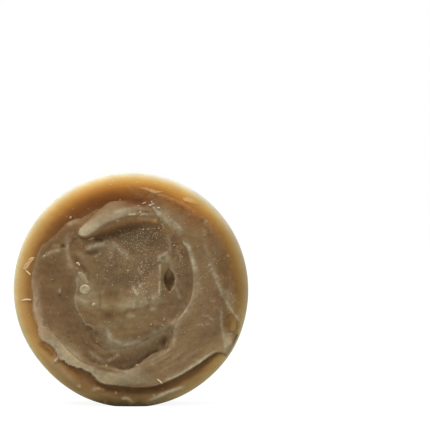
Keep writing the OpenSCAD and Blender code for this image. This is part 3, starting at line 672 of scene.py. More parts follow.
MOUND_OUTLINE = [
    *run(1.5, 0, 0, (-13.5, 19.6), (-6, 22.6), (1, 24), (7, 24.6), (11.6, 23.4)),
    *run(1.2, 0, 0, (15, 21.2), (17.6, 18), (20, 13), (21.4, 8), (22, 3), (21.4, -2.4), (19.6, -6.4),
         (16.4, -10.4)),
    (13.6, -13.6, 1.6, 0, 0),
    *run(2, 0, 0, (10.6, -15.6), (7.8, -16.8), (5.2, -18.3), (2.6, -19.8), (-0.4, -20.6), (-3.4, -21.1),
         (-6, -21.2), (-8.4, -20.6)),
    (-10.6, -18.9, 1.4, 0, 0), (-12.3, -16.8, 0.8, 0.05, 0.2), (-13, -14.8, 0.6, 0.1, 0.1),
    (-12.9, -13.5, 0.6, 0.15, 0.1), (-14, -12.5, 0.5, 0.2, 0.1), (-15.3, -12.4, 0.5, 0.25, 0.1),
    (-16.2, -11.3, 0.5, 0.25, 0.2),
    *run(0.5, 0.28, 0.2, (-17.2, -9.5), (-18.3, -7.8), (-18.8, -6)),
    (-19.3, -3.6, 0.6, 0.3, 0.1), (-19, -1.2, 0.7, 0.2, 0.1), (-18.4, 1, 1, 0.1, 0),
    (-19.1, 4.4, 1, 0.1, 0), (-20, 8, 1.2, 0.1, 0), (-21.2, 12, 1.2, 0.1, 0),
    (-21.4, 15.6, 1.5, 0.05, 0), (-19.4, 18, 1.5, 0, 0), (-16.5, 18.6, 1.5, 0, 0)]

# The tongue is a wave of soap: its crest, and its borders above and below the crest
TONGUE_CREST = [(-17, 18.5), (-15.4, 18.1), (-13.6, 18.8), (-11.6, 20.2), (-9.4, 21.7), (-7, 23),
                (-4.4, 24.1), (-1.4, 24.9), (2, 25.4), (5.4, 25.3), (8.2, 24.4)]
TONGUE_UPPER = [(-17.8, 18.9), (-17.6, 20.2), (-16.2, 22.1), (-14.1, 24), (-12.3, 26.1), (-10.3, 28.4),
                (-7.5, 30.8), (-3.8, 31.1), (0, 30.2), (3.8, 29.4), (6.8, 28.4), (8.6, 26.6)]
TONGUE_LOWER = [(-17.8, 18.9), (-17.2, 17.7), (-15.8, 17), (-13.4, 17.1), (-10.6, 17.6), (-7, 18.2),
                (-3, 19.4), (1, 20.4), (5, 21), (8.2, 20.9), (10, 21.2), (10.4, 23.2), (9.6, 25),
                (8.6, 26.6)]
# Its edge is crisper round the tip at the left
TONGUE_OUTLINE = (
    [(*p, 1.0 if p[0] < -13 else 2.4, 0, 0) for p in reversed(TONGUE_LOWER)]
    + [(*p, 1.0 if p[0] < -11 else 2.2, 0, 0) for p in TONGUE_UPPER[1:-1]])


# ---- heights of the surfaces, in mm out of the back face ----

def inside(path, u, v):
    """Even-odd test of points against a closed path."""
    odd = np.zeros(u.shape, bool)
    for (au, av), (bu, bv) in zip(path[:-1, :2], path[1:, :2]):
        if av != bv:
            odd ^= ((av > v) != (bv > v)) & (u < (bu - au) * (v - av) / (bv - av) + au)
    return odd


def well_inside(outline, u, v):
    """0 outside an outline and just inside it, 1 from 2 mm in."""
    path = curve(outline, closed=True, step=1.2)
    far, _, _, _ = along(path, u, v)
    return np.where(inside(path, u, v), smooth01((far - 0.8) / 1.2), 0)


def lower_rim(angle):
    """1 along the lower right of the rim, where the groove is open, and 0 elsewhere."""
    gap = np.degrees(np.abs((angle - math.radians(-72) + math.pi) % (2 * math.pi) - math.pi))
    return smooth01((75 - gap) / 35)


# Where the rim is out of round, in degrees, over how wide a stretch, and how far, in mm:
# a little full at the lower right, a little short at the lower left and the upper right
OUT_OF_ROUND = [(-31, 13, 0.2), (-132, 24, -0.35), (35, 32, -0.15)]


def rim_radius(angle):
    """The puck's outer radius."""
    degrees = np.degrees(angle)
    r = np.full(angle.shape, PUCK_R)
    for middle, spread, rise in OUT_OF_ROUND:
        gap = (degrees - middle + 180) % 360 - 180
        r += rise * np.exp(-(gap / spread) ** 2)
    return r


def rim_shoulder(angle):
    """How wide the rim's rounded shoulder is: narrower where the groove is open."""
    return 5.2 - 2.6 * lower_rim(angle)


# Where the dish ends, and where the shelf round it ends and how high it lies, in mm
DISH_R = 26.5
SHELF_R = 29
SHELF_TOP = 20.4


def base_height(u, v):
    """The cast soap's face: a dish, a shelf round it, and the rim's rounded shoulder."""
    r, angle = np.hypot(u, v), np.arctan2(v, u)
    shoulder = rim_shoulder(angle)
    outer = rim_radius(angle)
    crest = outer - shoulder
    inner = SHELF_R + 3.8 * lower_rim(angle)
    top = BASE_TOP - 0.15
    shelf = mix(SHELF_TOP, top, smooth01((r - inner) / (crest - inner)))
    dish = mix(DISH_FLOOR, shelf, smooth01((r - DISH_R) / 2.5))
    over = np.clip((r - crest) / shoulder, 0, 1)
    round_off = top - shoulder * (1 - np.sqrt(np.maximum(1 - over ** 2, 0)))
    w = np.where(r < crest, dish, round_off)
    wear = 0.1 * ripple(u, v, 7, 11) + 0.04 * ripple(u, v, 2, 12)
    rise, _ = relief(u, v, BASE_STROKES, BASE_SPOTS)
    return w + (wear + rise) * smooth01((outer - r) / 2.5)


# How much deeper the layer lies under another lap, in mm
COVERED_DEPTH = 2.9


def layer_height(u, v):
    """The layer's own face. Where another lap covers it, it lies deeper."""
    rise, _ = relief(u, v, LAYER_STROKES, LAYER_SPOTS)
    covered = np.maximum(well_inside(MOUND_OUTLINE, u, v), well_inside(SWEEP_OUTLINE, u, v))
    height = face_level(u, v) + rise * (1 - covered) - COVERED_DEPTH * covered
    height += 0.02 * ripple(u, v, 1.1, 22)
    # at the left it runs a little way up the rim as a thin skin
    on_rim = np.maximum(height, base_height(u, v) + 0.1)
    return mix(height, on_rim, smooth01((-23 - u) / 3) * (1 - covered))


def leaf_pit(u, v):
    """1 at the bottom of the leaf-shaped pit, steep on its right and lower sides."""
    crisp = smooth01(1.7 * leaf(u, v, at=(13.2, 3.3), length=8.2, width=4.2, turn=2))
    return crisp * (0.2 + 0.8 * smooth01((7.2 - v) / 5))


def mound_height(u, v):
    """The mound's face, rough where its grains are. It lies deeper under the tongue and under
    the sweep's upper end."""
    rise, _ = relief(u, v, MOUND_STROKES, MOUND_SPOTS)
    rough = grain_field(u, v) * (0.08 * ripple(u, v, 0.6, 31) + 0.05 * ripple(u, v, 0.35, 32))
    swell = 0.06 * ripple(u, v, 1.4, 34)
    hidden = well_inside(TONGUE_OUTLINE, u, v) + (v > 14) * well_inside(SWEEP_OUTLINE, u, v)
    height = face_level(u, v) + 0.12 + rise + rough + swell
    return height - 1.5 * leaf_pit(u, v) - 1.2 * np.clip(hidden, 0, 1)


def streaks(u, v):
    """Fine drag marks round the face, from about -1 to 1."""
    r = np.hypot(u - 3, v)
    broad = np.sin(r * 2.7 + 3 * ripple(u, v, 9, 41))
    fine = np.sin(r * 6.1 + 5 * ripple(u, v, 7, 42))
    return (0.5 * broad + 0.5 * fine) * np.clip(0.5 + ripple(u, v, 6, 43), 0, 1.5)


def sweep_height(u, v):
    """The sweep's face. Where it reaches the puck's edge it bends down with the rim."""
    rise, _ = relief(u, v, SWEEP_STROKES, SWEEP_SPOTS)
    flat = face_level(u, v) + 0.22 + rise + 0.02 * streaks(u, v) + 0.02 * ripple(u, v, 1, 44)
    over_edge = smooth01((np.hypot(u, v) - 36) / 3)
    draped = np.minimum(flat, base_height(u, v) + 0.8)
    return mix(flat, draped, over_edge)


def tongue_shares(u, v):
    """How far up the wave each point is from its upper and from its lower border, and the place
    along the crest. One of the two shares is 1, by the side of the crest that the point is on."""
    to_upper, _, _, _ = along(curve(TONGUE_UPPER), u, v)
    to_lower, _, _, _ = along(curve(TONGUE_LOWER), u, v)
    to_crest, side, place, _ = along(curve(TONGUE_CREST), u, v)
    above = np.where(side > 0, to_upper / (to_upper + to_crest + 1e-6), 1)
    below = np.where(side > 0, 1, to_lower / (to_lower + to_crest + 1e-6))
    return above, below, place


def tongue_height(u, v):
    """The wave's face, from its borders up to its crest, which is highest near the middle."""
    above, below, place = tongue_shares(u, v)
    crest = np.interp(place, [0, 0.15, 0.4, 0.7, 1], [1.3, 2.0, 3.1, 2.4, 0.3])
    rise, _ = relief(u, v, TONGUE_STROKES, TONGUE_SPOTS)
    rounded, sharp = np.sin(0.5 * math.pi * below) ** 1.3, 1 - np.cos(0.5 * math.pi * below)
    wave = smooth01(above ** 0.8) * (0.6 * rounded + 0.4 * sharp)
    height = face_level(u, v) + 0.3 + crest * wave + rise + 0.05 * ripple(u, v, 2, 51)
    return np.minimum(height, TONGUE_TOP)


# ---- materials ----

def empty_tree(tree):
    """Empties a node tree and returns a function that adds a node to it. Its inputs, in order
    or by name, are numbers, colours or other nodes' outputs; other names are its settings."""
    tree.nodes.clear()

    def add(kind, *inputs, **named):
        node = tree.nodes.new("ShaderNode" + kind)
        inputs = dict(enumerate(inputs))
        for name, value in named.items():
            if name.replace("_", " ") in node.inputs:
                inputs[name.replace("_", " ")] = value
            else:
                setattr(node, name, value)
        for name, value in inputs.items():
            if isinstance(value, bpy.types.NodeSocket):
                tree.links.new(value, node.inputs[name])
            else:
                node.inputs[name].default_value = value
        return node

    return add


def ranged(add, value, low, high, new_low, new_high, **settings):
    """A value between low and high, carried over to between new_low and new_high."""
    return add("MapRange", Value=value, From_Min=low, From_Max=high, To_Min=new_low,
               To_Max=new_high, **settings).outputs["Result"]


def maths(add, operation, a, b):
    """A sum, a product or another operation on two values."""
    return add("Math", a, b, operation=operation).outputs["Value"]


SPECK_COLOUR = (0.62, 0.55, 0.40, 1)
# How far red, green and blue light scatter in the soap, one against another
SCATTER_RADIUS = (1.0, 0.62, 0.36)


def specks(add, place, dots, dot_size):
    """Pale specks: cells of a Voronoi pattern, each kept or dropped by chance. Returns where
    they are, and how strongly each one shows."""
    grain = add("Attribute", attribute_name="grain").outputs["Fac"]
    cell = add("TexVoronoi", Vector=place, Scale=1 / (dot_size * MM))
    near = ranged(add, cell.outputs["Distance"], 0.44, 0.2, 0.0, 1.0)
    chance = add("SeparateColor", Color=cell.outputs["Color"])
    wanted = maths(add, "MULTIPLY", grain, dots)
    lucky = maths(add, "LESS_THAN", chance.outputs["Red"], wanted)
    speck = maths(add, "MULTIPLY", near, lucky)
    dim = maths(add, "POWER", chance.outputs["Green"], 1.6)
    return speck, maths(add, "MULTIPLY", dim, speck)


def soap(name, rough, scatter, depth_mm, mottle, dots, dot_size, bump_mm):
    """Waxy soap over the mesh's own tones: clouding, pale specks, fine tooth and uneven gloss."""
    material = bpy.data.materials.new(name)
    material.use_nodes = True
    add = empty_tree(material.node_tree)
    place = add("TexCoord").outputs["Object"]
    tone = add("Attribute", attribute_name="tone").outputs["Color"]

    cloud = add("TexNoise", Vector=place, Scale=900.0, Detail=4.0, Roughness=0.65)
    clouded = ranged(add, cloud.outputs["Fac"], 0.3, 0.7, 1 - mottle, 1 + mottle)
    scaled = add("VectorMath", tone, operation="SCALE", Scale=clouded)
    speck, faded = specks(add, place, dots, dot_size)
    dotted = add("Mix", data_type="RGBA", Factor=faded, A=scaled.outputs["Vector"], B=SPECK_COLOUR)

    gloss = add("TexNoise", Vector=place, Scale=260.0, Detail=3.0)
    uneven = ranged(add, gloss.outputs["Fac"], 0.3, 0.7, rough - 0.08, rough + 0.08)

    # the specks stand a little proud of the fine tooth
    tooth = add("TexNoise", Vector=place, Scale=2600.0, Detail=3.0)
    heaped = maths(add, "ADD", tooth.outputs["Fac"], speck)
    bump = add("Bump", Strength=0.6, Distance=bump_mm * MM, Height=heaped)

    shader = add("BsdfPrincipled", Base_Color=dotted.outputs["Result"], Roughness=uneven, IOR=1.45,
                 Subsurface_Weight=scatter, Subsurface_Radius=SCATTER_RADIUS,
                 Subsurface_Scale=depth_mm * MM, Specular_IOR_Level=0.08,
                 Normal=bump.outputs["Normal"])
    add("OutputMaterial", Surface=shader.outputs["BSDF"])
    return material


SOAPS = {
    "cast_soap": soap("cast_soap", rough=0.45, scatter=0.7, depth_mm=2.4, mottle=0.015,
                      dots=0.2, dot_size=0.45, bump_mm=0.02),
    "spread_soap": soap("spread_soap", rough=0.5, scatter=0.3, depth_mm=0.6, mottle=0.07,
                        dots=1.0, dot_size=0.36, bump_mm=0.06),
    "fold_soap": soap("fold_soap", rough=0.5, scatter=0.3, depth_mm=0.6, mottle=0.05,
                      dots=0.4, dot_size=0.45, bump_mm=0.04),
    "dry_soap": soap("dry_soap", rough=0.6, scatter=0.4, depth_mm=0.6, mottle=0.06,
                     dots=0.3, dot_size=0.5, bump_mm=0.05)}


# ---- meshes ----

def neighbours(cells):
    """The cells on the four sides of each cell."""
    padded = np.pad(cells, 1)
    return padded[:-2, 1:-1], padded[2:, 1:-1], padded[1:-1, :-2], padded[1:-1, 2:]


def joined_cells(cells):
    """The largest patch of cells that hang together by their sides, without loose corners."""
    for _ in range(4):
        cells = cells & (sum(side.astype(int) for side in neighbours(cells)) >= 2)
        a, b, c, d = cells[:-1, :-1], cells[1:, :-1], cells[:-1, 1:], cells[1:, 1:]
        cells[:-1, :-1] &= ~(a & d & ~b & ~c)
        cells[1:, :-1] &= ~(b & c & ~a & ~d)
    best = np.zeros_like(cells)
    left = cells.copy()
    while left.any():
        grown = np.zeros_like(cells)
        grown[tuple(np.argwhere(left)[0])] = True
        count = 0
        while count != grown.sum():
            count = grown.sum()
            for _ in range(12):
                below, above, before, after = neighbours(grown)
                grown = left & (grown | below | above | before | after)
        if grown.sum() > best.sum():
            best = grown
        left &= ~grown
    return best


def quads_of(cells):
    """Which points of the grid the cells use, and each cell as the numbers of four of them."""
    rows, columns = cells.shape
    used = np.zeros((rows + 1, columns + 1), bool)
    for du in (0, 1):
        for dv in (0, 1):
            used[du:rows + du, dv:columns + dv] |= cells
    number = np.full(used.shape, -1)
    number[used] = np.arange(used.sum())
    i, j = np.nonzero(cells)
    quads = np.stack([number[i, j], number[i + 1, j], number[i + 1, j + 1], number[i, j + 1]], 1)
    return used.ravel(), quads


def border_of(quads):
    """The points round the border, in order: sides that belong to one quad only."""
    sides = np.concatenate([quads[:, [k, (k + 1) % 4]] for k in range(4)])
    present = set(map(tuple, sides.tolist()))
    follow = {a: b for a, b in present if (b, a) not in present}
    ring = [min(follow)]
    while follow[ring[-1]] != ring[0]:
        ring.append(follow[ring[-1]])
    return ring


def new_piece(name, verts, faces, colours, grains, node, slot):
    """A smooth-shaded mesh object in the row frame, riding on the puck's one body."""
    mesh = bpy.data.meshes.new(name)
    mesh.from_pydata(to_row(verts).tolist(), [], faces)
    mesh.update()
    mesh.polygons.foreach_set("use_smooth", [True] * len(mesh.polygons))
    tone = mesh.color_attributes.new("tone", "FLOAT_COLOR", "POINT")
    rgba = np.ones((len(verts), 4))
    rgba[:, :3] = np.clip(colours, 0, 1)
    tone.data.foreach_set("color", rgba.ravel())
    grain = mesh.attributes.new("grain", "FLOAT", "POINT")
    grain.data.foreach_set("value", grains)
    mesh.materials.append(SOAPS[slot])
    piece = bpy.data.objects.new(name, mesh)
    bpy.context.scene.collection.objects.link(piece)
    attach(piece, "root")
    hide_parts(node)
    return piece


# How deep a lap's edge goes into what it lies on, in mm
SUNK = 0.12
# The burr's crest inside the edge, its half width, and how much it pales the soap, partly as a painted
# highlight along the edge
BURR_IN = 0.5
BURR_WIDTH = 0.45
BURR_TINT = 1.7
# Edges softer than this swell gently, and the others are round
SOFT_EDGE = 1.1


def lap(name, node, slot, outline, height, under, bottom, paint, step=0.25):
    """A closed lump of soap over an outline: its top follows height(), rolls down to under()
    at its edge, and its underside is flat at bottom."""
    path = curve(outline, closed=True, step=0.5)
    gu = np.arange(path[:, 0].min() - step, path[:, 0].max() + 2 * step, step)
    gv = np.arange(path[:, 1].min() - step, path[:, 1].max() + 2 * step, step)
    u, v = np.meshgrid(gu, gv, indexing="ij")
    shape = u.shape
    u, v = u.ravel(), v.ravel()
    far, _, _, row = along(path, u, v)
    low = np.minimum(row.astype(int), len(path) - 2)
    edge = mix(path[low], path[low + 1], (row - low)[:, None])
    bite = edge[:, 4] * (0.5 + 0.9 * ripple(u, v, 0.9, 81) + 0.4 * ripple(u, v, 0.4, 82))
    depth = np.where(inside(path, u, v), far, -far) - np.clip(bite, 0, 3)
    kept = (depth > 0.3 * step).reshape(shape)
    cells = joined_cells(kept[:-1, :-1] & kept[1:, :-1] & kept[:-1, 1:] & kept[1:, 1:])
    pick, quads = quads_of(cells)
    u, v, depth, edge = u[pick], v[pick], depth[pick], edge[pick]

    # the border moves out to the outline
    ring = border_of(quads)
    rim = np.array(ring)
    away = np.stack([edge[rim, 0] - u[rim], edge[rim, 1] - v[rim]], 1)
    away /= np.maximum(np.linalg.norm(away, axis=1), 1e-6)[:, None]
    u[rim] += away[:, 0] * depth[rim]
    v[rim] += away[:, 1] * depth[rim]
    depth[rim] = 0

    soft = edge[:, 2]
    crisp = np.sqrt(1 - (1 - np.clip(depth / soft, 0, 1)) ** 2)
    roll = np.where(soft > SOFT_EDGE, smooth01(depth / soft), crisp)
    burr = edge[:, 3] * np.exp(-((depth - BURR_IN) / BURR_WIDTH) ** 2)
    ground = under(u, v) - SUNK
    w = ground + (height(u, v) + burr - ground) * roll
    top = np.stack([u, v, w], 1)
    colours = paint(u, v, depth, soft, burr * BURR_TINT)
    grains = grain_field(u, v)

    # the side and the flat underside
    floor = np.stack([u[rim], v[rim], np.full(len(rim), bottom)], 1)
    faces = quads.tolist()
    count = len(top)
    for n in range(len(rim)):
        m = (n + 1) % len(rim)
        faces.append([ring[m], ring[n], count + n, count + m])
    faces.append([count + n for n in reversed(range(len(rim)))])
    return new_piece(name, np.concatenate([top, floor]), faces,
                     np.concatenate([colours, colours[rim]]),
                     np.concatenate([grains, grains[rim]]), node, slot)


# ---- the cast base ----

# Points round each ring
SEGMENTS = 900
# Where the face's plain rings end and the rim's begin
FACE_R = 34
# The shoulder's heights are read a hair further in, where it isn't quite upright
WITHIN = 0.99995
# Its soap on the side and on the back
CAST_SIDE = linear(206, 160, 98)
CAST_BACK = linear(190, 140, 78)


def base_rings():
    """The base as rings of points: out over the face, round its rim, down its side and in over
    its back."""
    angle = np.linspace(0, 2 * math.pi, SEGMENTS, endpoint=False)
    outer = rim_radius(angle)
    shoulder = rim_shoulder(angle)
    crest = np.maximum(outer - shoulder, FACE_R + 0.3)
    rings = []

    def ring(r, w):
        rings.append((r * np.cos(angle), r * np.sin(angle), np.broadcast_to(w, angle.shape)))

    def face_ring(r, within=1):
        u, v = r * np.cos(angle), r * np.sin(angle)
        ring(r, base_height(u * within, v * within))

    for r in [*np.linspace(4, 22, 4), *np.linspace(24, FACE_R, 30)]:
        face_ring(r)
    for t in np.linspace(0, 1, 12)[1:]:
        face_ring(mix(FACE_R, crest, t))
    for bend in np.radians(np.linspace(6, 90, 15)):
        face_ring(np.maximum(crest, outer - shoulder + shoulder * math.sin(bend)), WITHIN)
    edge_w = rings[-1][2]
    for t in np.linspace(0, 1, 14)[1:]:
        dents = 0.05 * (1 + ripple(angle * 12, np.full(SEGMENTS, t * 20), 4, 91))
        hollow = (0.12 * np.sin(math.pi * t) ** 2 + dents) * np.sin(math.pi * t)
        ring(outer - hollow, mix(edge_w, BACK_EDGE, t))
    for bend in np.radians(np.linspace(15, 90, 6)):
        ring(outer - BACK_EDGE * (1 - math.cos(bend)), BACK_EDGE * (1 - math.sin(bend)))
    for r in (36, 32, 27, 21, 14, 7):
        u, v = r * np.cos(angle), r * np.sin(angle)
        ring(r, 0.06 * np.clip(1 + ripple(u, v, 8, 92), 0, 2) * smooth01((37 - r) / 3))
    return rings


def cast_base():
    rings = base_rings()
    plan = np.concatenate([np.stack(ring, 1) for ring in rings])
    plan[:, 1] = np.maximum(plan[:, 1], FLAT_V)
    faces = []
    for k in range(len(rings) - 1):
        a = k * SEGMENTS
        b = a + SEGMENTS
        for n in range(SEGMENTS):
            m = (n + 1) % SEGMENTS
            faces.append([a + n, b + n, b + m, a + m])
    face_middle = len(plan)
    back_middle = face_middle + 1
    plan = np.concatenate([plan, [[0, 0, DISH_FLOOR], [0, 0, 0.05]]])
    last = (len(rings) - 1) * SEGMENTS
    for n in range(SEGMENTS):
        m = (n + 1) % SEGMENTS
        faces.append([face_middle, n, m])
        faces.append([back_middle, last + m, last + n])
    return plan, faces


def paint_base(plan):
    """Amber on the face. The side and the back are the same soap seen through less light. Painted shade
    darkens it towards the foot.
    """
    u, v, w = plan.T
    _, tint = relief(u, v, BASE_STROKES, BASE_SPOTS)
    face = tinted(amber(u, v), tint, u, v, 240, cloudy=0.2)
    clouds = 1 + 0.08 * ripple(u + w, v - w, 6, 95) + 0.05 * ripple(u - w, v + w, 2, 96)
    to_side = smooth01((BASE_TOP - 3.5 - w) / 4) * smooth01((np.hypot(u, v) - 38) / 1.5)
    colour = mix(face, CAST_SIDE * clouds[:, None], to_side[:, None])
    to_back = smooth01((3 - w) / 3)
    colour = mix(colour, CAST_BACK * clouds[:, None], to_back[:, None])
    # painted shade: darker towards the foot, near the floor
    foot_shade = smooth01((FLAT_V + 5 - v) / 5) * smooth01((w - 2) / 6)
    return colour * (1 - 0.45 * foot_shade)[:, None]


def make_base():
    plan, faces = cast_base()
    grains = np.full(len(plan), 0.12)
    return new_piece("cast_base", plan, faces, paint_base(plan), grains, "base_puck", "cast_soap")


# ---- the laps of spread soap ----

def feathered(u, v, depth, soft):
    """The spread soap's tones, running into the cast soap's where the outer edge is thin."""
    near_rim = smooth01((np.hypot(u, v) - 30) / 2)
    thin = np.where(soft > 1.3, 1 - smooth01(depth / (1.3 * soft)), 0)
    return mix(taupe(u, v), 1.02 * amber(u, v), (near_rim * thin)[:, None])


def paint_layer(u, v, depth, soft, burr):
    _, tint = relief(u, v, LAYER_STROKES, LAYER_SPOTS)
    return tinted(feathered(u, v, depth, soft), tint + burr, u, v, 200)


def paint_sweep(u, v, depth, soft, burr):
    _, tint = relief(u, v, SWEEP_STROKES, SWEEP_SPOTS)
    return tinted(feathered(u, v, depth, soft), tint + burr + 0.05 * streaks(u, v), u, v, 230)


def paint_mound(u, v, depth, soft, burr):
    _, tint = relief(u, v, MOUND_STROKES, MOUND_SPOTS)
    # the leaf-shaped pit is darkened as painted shade
    return tinted(taupe(u, v), tint + burr - 0.95 * leaf_pit(u, v), u, v, 210)


# The tongue's face from its tip to its end, and its front above and below: the front darkens downwards as
# painted shade
FOLD_TIP = linear(150, 135, 107)
FOLD_FACE = linear(126, 109, 83)
FOLD_END = linear(123, 103, 77)
FOLD_HIGH = linear(152, 118, 78)
FOLD_LOW_SHADE = linear(113, 84, 54)
# Behind the tongue, from left to right; the dark brown middle is painted shade
BEHIND_LEFT = linear(122, 90, 59)
BEHIND_MIDDLE_SHADE = linear(106, 64, 35)
BEHIND_RIGHT = linear(126, 97, 65)


def paint_tongue(u, v, depth, soft, burr):
    """Pale on its face, brown with painted shade down its front, and running into what is behind and
    below it.
    """
    above, below, place = tongue_shares(u, v)
    _, tint = relief(u, v, TONGUE_STROKES, TONGUE_SPOTS)
    face = mix(FOLD_TIP, FOLD_FACE, smooth01((place - 0.1) / 0.3)[:, None])
    face = mix(face, FOLD_END, smooth01((place - 0.5) / 0.25)[:, None])
    shaded_front = mix(FOLD_LOW_SHADE, FOLD_HIGH, smooth01((below - 0.15) / 0.6)[:, None])
    colour = mix(shaded_front, face, smooth01((below - 0.72) / 0.26)[:, None])
    colour = tinted(colour, tint + burr, u, v, 220)
    behind = mix(BEHIND_LEFT, BEHIND_MIDDLE_SHADE, smooth01((u + 5) / 5)[:, None])
    behind = mix(behind, BEHIND_RIGHT, smooth01((u - 5) / 2.5)[:, None])
    upper = smooth01(above / np.interp(place, [0.15, 0.4], [0.22, 0.75]))
    lower = np.where(place < 0.06, 1, smooth01(below / 0.35))
    colour = mix(behind, colour, upper[:, None])
    return mix(taupe(u, v), colour, lower[:, None])


def under_layer(u, v):
    return np.maximum(base_height(u, v), face_level(u, v) - 0.3)


def under_sweep(u, v):
    on_layer = inside(curve(LAYER_OUTLINE, closed=True), u, v)
    base = base_height(u, v)
    low = face_level(u, v) - 0.2 + 0.3 * smooth01((v - 12) / 4)
    return np.where(on_layer, np.maximum(low, base), base)


def under_mound(u, v):
    rise, _ = relief(u, v, LAYER_STROKES, LAYER_SPOTS)
    return face_level(u, v) + rise


def under_tongue(u, v):
    return face_level(u, v) - 0.1 + 0.35 * smooth01((u - 4) / 3) * smooth01((v - 23) / 1.5)


def make_laps():
    """The four laps. The lower one of two that overlap also reaches deeper down."""
    return [
        lap("spread_layer_skin", "spread_layer", "spread_soap", LAYER_OUTLINE,
            layer_height, under_layer, DISH_FLOOR - 0.8, paint_layer),
        lap("inner_mound_skin", "inner_mound", "spread_soap", MOUND_OUTLINE,
            mound_height, under_mound, DISH_FLOOR - 0.4, paint_mound),
        lap("outer_sweep_skin", "outer_sweep", "spread_soap", SWEEP_OUTLINE,
            sweep_height, under_sweep, DISH_FLOOR, paint_sweep),
        lap("tongue_fold_skin", "tongue_fold", "fold_soap", TONGUE_OUTLINE,
            tongue_height, under_tongue, DISH_FLOOR + 0.4, paint_tongue, step=0.18)]


big_pieces = [make_base()] + make_laps()


# ---- small bits, laid on what is already there ----

def tree_of(piece):
    mesh = piece.data
    return BVHTree.FromPolygons([v.co for v in mesh.vertices], [p.vertices for p in mesh.polygons])


trees = [tree_of(piece) for piece in big_pieces]


def seat(u, v):
    """How far out the surface under each point is."""
    out = []
    for x, z in zip(np.asarray(u) * MM, (CENTRE_Z + np.asarray(v)) * MM):
        hits = [tree.ray_cast(Vector((x, -0.1, z)), Vector((0, 1, 0)))[0] for tree in trees]
        out.append(max(BACK_Y - hit.y / MM for hit in hits if hit))
    return np.array(out)


STONE_ROWS = 9
STONE_COLUMNS = 14


def stone(at, radii, turn, seed, colour):
    """A small crumb of dry soap: a knobbly lump, a third of it sunk in."""
    polar, around = np.meshgrid(np.linspace(0.12, math.pi - 0.12, STONE_ROWS),
                                np.linspace(0, 2 * math.pi, STONE_COLUMNS, endpoint=False),
                                indexing="ij")
    x, y, z = np.sin(polar) * np.cos(around), np.sin(polar) * np.sin(around), np.cos(polar)
    lumpy = 1 + 0.22 * ripple(x + 0.7 * z, y - 0.4 * z, 0.6, seed)
    lumpy += 0.12 * ripple(x - z, y + z, 0.3, seed + 1)
    c, s = math.cos(math.radians(turn)), math.sin(math.radians(turn))
    x, y, z = x * lumpy * radii[0], y * lumpy * radii[1], z * lumpy * min(radii) * 0.8
    u, v = at[0] + x * c - y * s, at[1] + x * s + y * c
    w = seat([at[0]], [at[1]])[0] + 0.3 * min(radii) + z
    verts = np.stack([u.ravel(), v.ravel(), w.ravel()], 1)
    faces = []
    for i in range(STONE_ROWS - 1):
        a = i * STONE_COLUMNS
        b = a + STONE_COLUMNS
        for j in range(STONE_COLUMNS):
            k = (j + 1) % STONE_COLUMNS
            faces.append([b + j, b + k, a + k, a + j])
    faces.append(list(range(STONE_COLUMNS)))
    faces.append([b + j for j in reversed(range(STONE_COLUMNS))])
    clouds = 1 + 0.1 * ripple(verts[:, 0], verts[:, 1], 0.4, seed)
    return verts, faces, np.tile(linear(*colour), (len(verts), 1)) * clouds[:, None]


SHAVING_SIDES = 10


def shaving(points, width, thick, colour):
    """A thin curl of dry soap: tapered, rounded across, and lifted a little at its ends."""
    path = curve(points, step=0.2)
    along_it = np.gradient(path, axis=0)
    along_it /= np.linalg.norm(along_it, axis=1)[:, None]
    across = np.stack([-along_it[:, 1], along_it[:, 0]], 1)
    place = np.linspace(0, 1, len(path))
    half = width / 2 * np.clip(np.sin(math.pi * place), 0.15, 1) ** 0.45
    half = half * (1 + 0.15 * ripple(place * 5, place, 1, 93))
    ground = seat(path[:, 0], path[:, 1])
    verts = []
    for k in range(SHAVING_SIDES):
        turn = 2 * math.pi * k / SHAVING_SIDES
        side = np.sign(math.cos(turn)) * abs(math.cos(turn)) ** 0.7
        rise = thick * (0.25 + 0.5 * math.sin(turn)) + 0.12 * np.abs(2 * place - 1) ** 3
        verts.append(np.column_stack([path + across * (half * side)[:, None], ground + rise]))
    verts = np.stack(verts, 1).reshape(-1, 3)
    faces = []
    for i in range(len(path) - 1):
        a = i * SHAVING_SIDES
        b = a + SHAVING_SIDES
        for k in range(SHAVING_SIDES):
            n = (k + 1) % SHAVING_SIDES
            faces.append([a + n, b + n, b + k, a + k])
    faces.append(list(reversed(range(SHAVING_SIDES))))
    faces.append([b + k for k in range(SHAVING_SIDES)])
    edge = np.abs(np.cos(2 * math.pi * (np.arange(len(verts)) % SHAVING_SIDES) / SHAVING_SIDES))
    tones = linear(*colour) * (1 - 0.12 * edge)[:, None] * np.ones((1, 3))
    return verts, faces, tones


def join(name, node, slot, parts):
    """Several lumps as one piece."""
    faces = []
    count = 0
    for verts, part_faces, _ in parts:
        faces += [[count + i for i in face] for face in part_faces]
        count += len(verts)
    verts = np.concatenate([part[0] for part in parts])
    tones = np.concatenate([part[2] for part in parts])
    return new_piece(name, verts, faces, tones, np.full(count, 0.3), node, slot)


def patch(name, node, slot, outline, rise, colour, seed, fade=0.0):
    """A thin piece of soap lying on the face, over an outline. It fades in from its edge over
    that many mm."""
    def height(u, v):
        return seat(u, v) + rise * (1 + 0.2 * ripple(u, v, 1.2, seed))

    def paint(u, v, depth, soft, burr):
        tone = np.tile(linear(*colour), (len(u), 1))
        tone = tinted(tone, 1.2 * burr, u, v, seed)
        share = smooth01(depth / fade) if fade else np.ones(len(u))
        return mix(amber(u, v), tone, share[:, None])

    path = curve(outline, closed=True)
    bottom = seat(path[:, 0], path[:, 1]).min() - 0.4
    return lap(name, node, slot, outline, height, seat, bottom, paint, step=0.12)


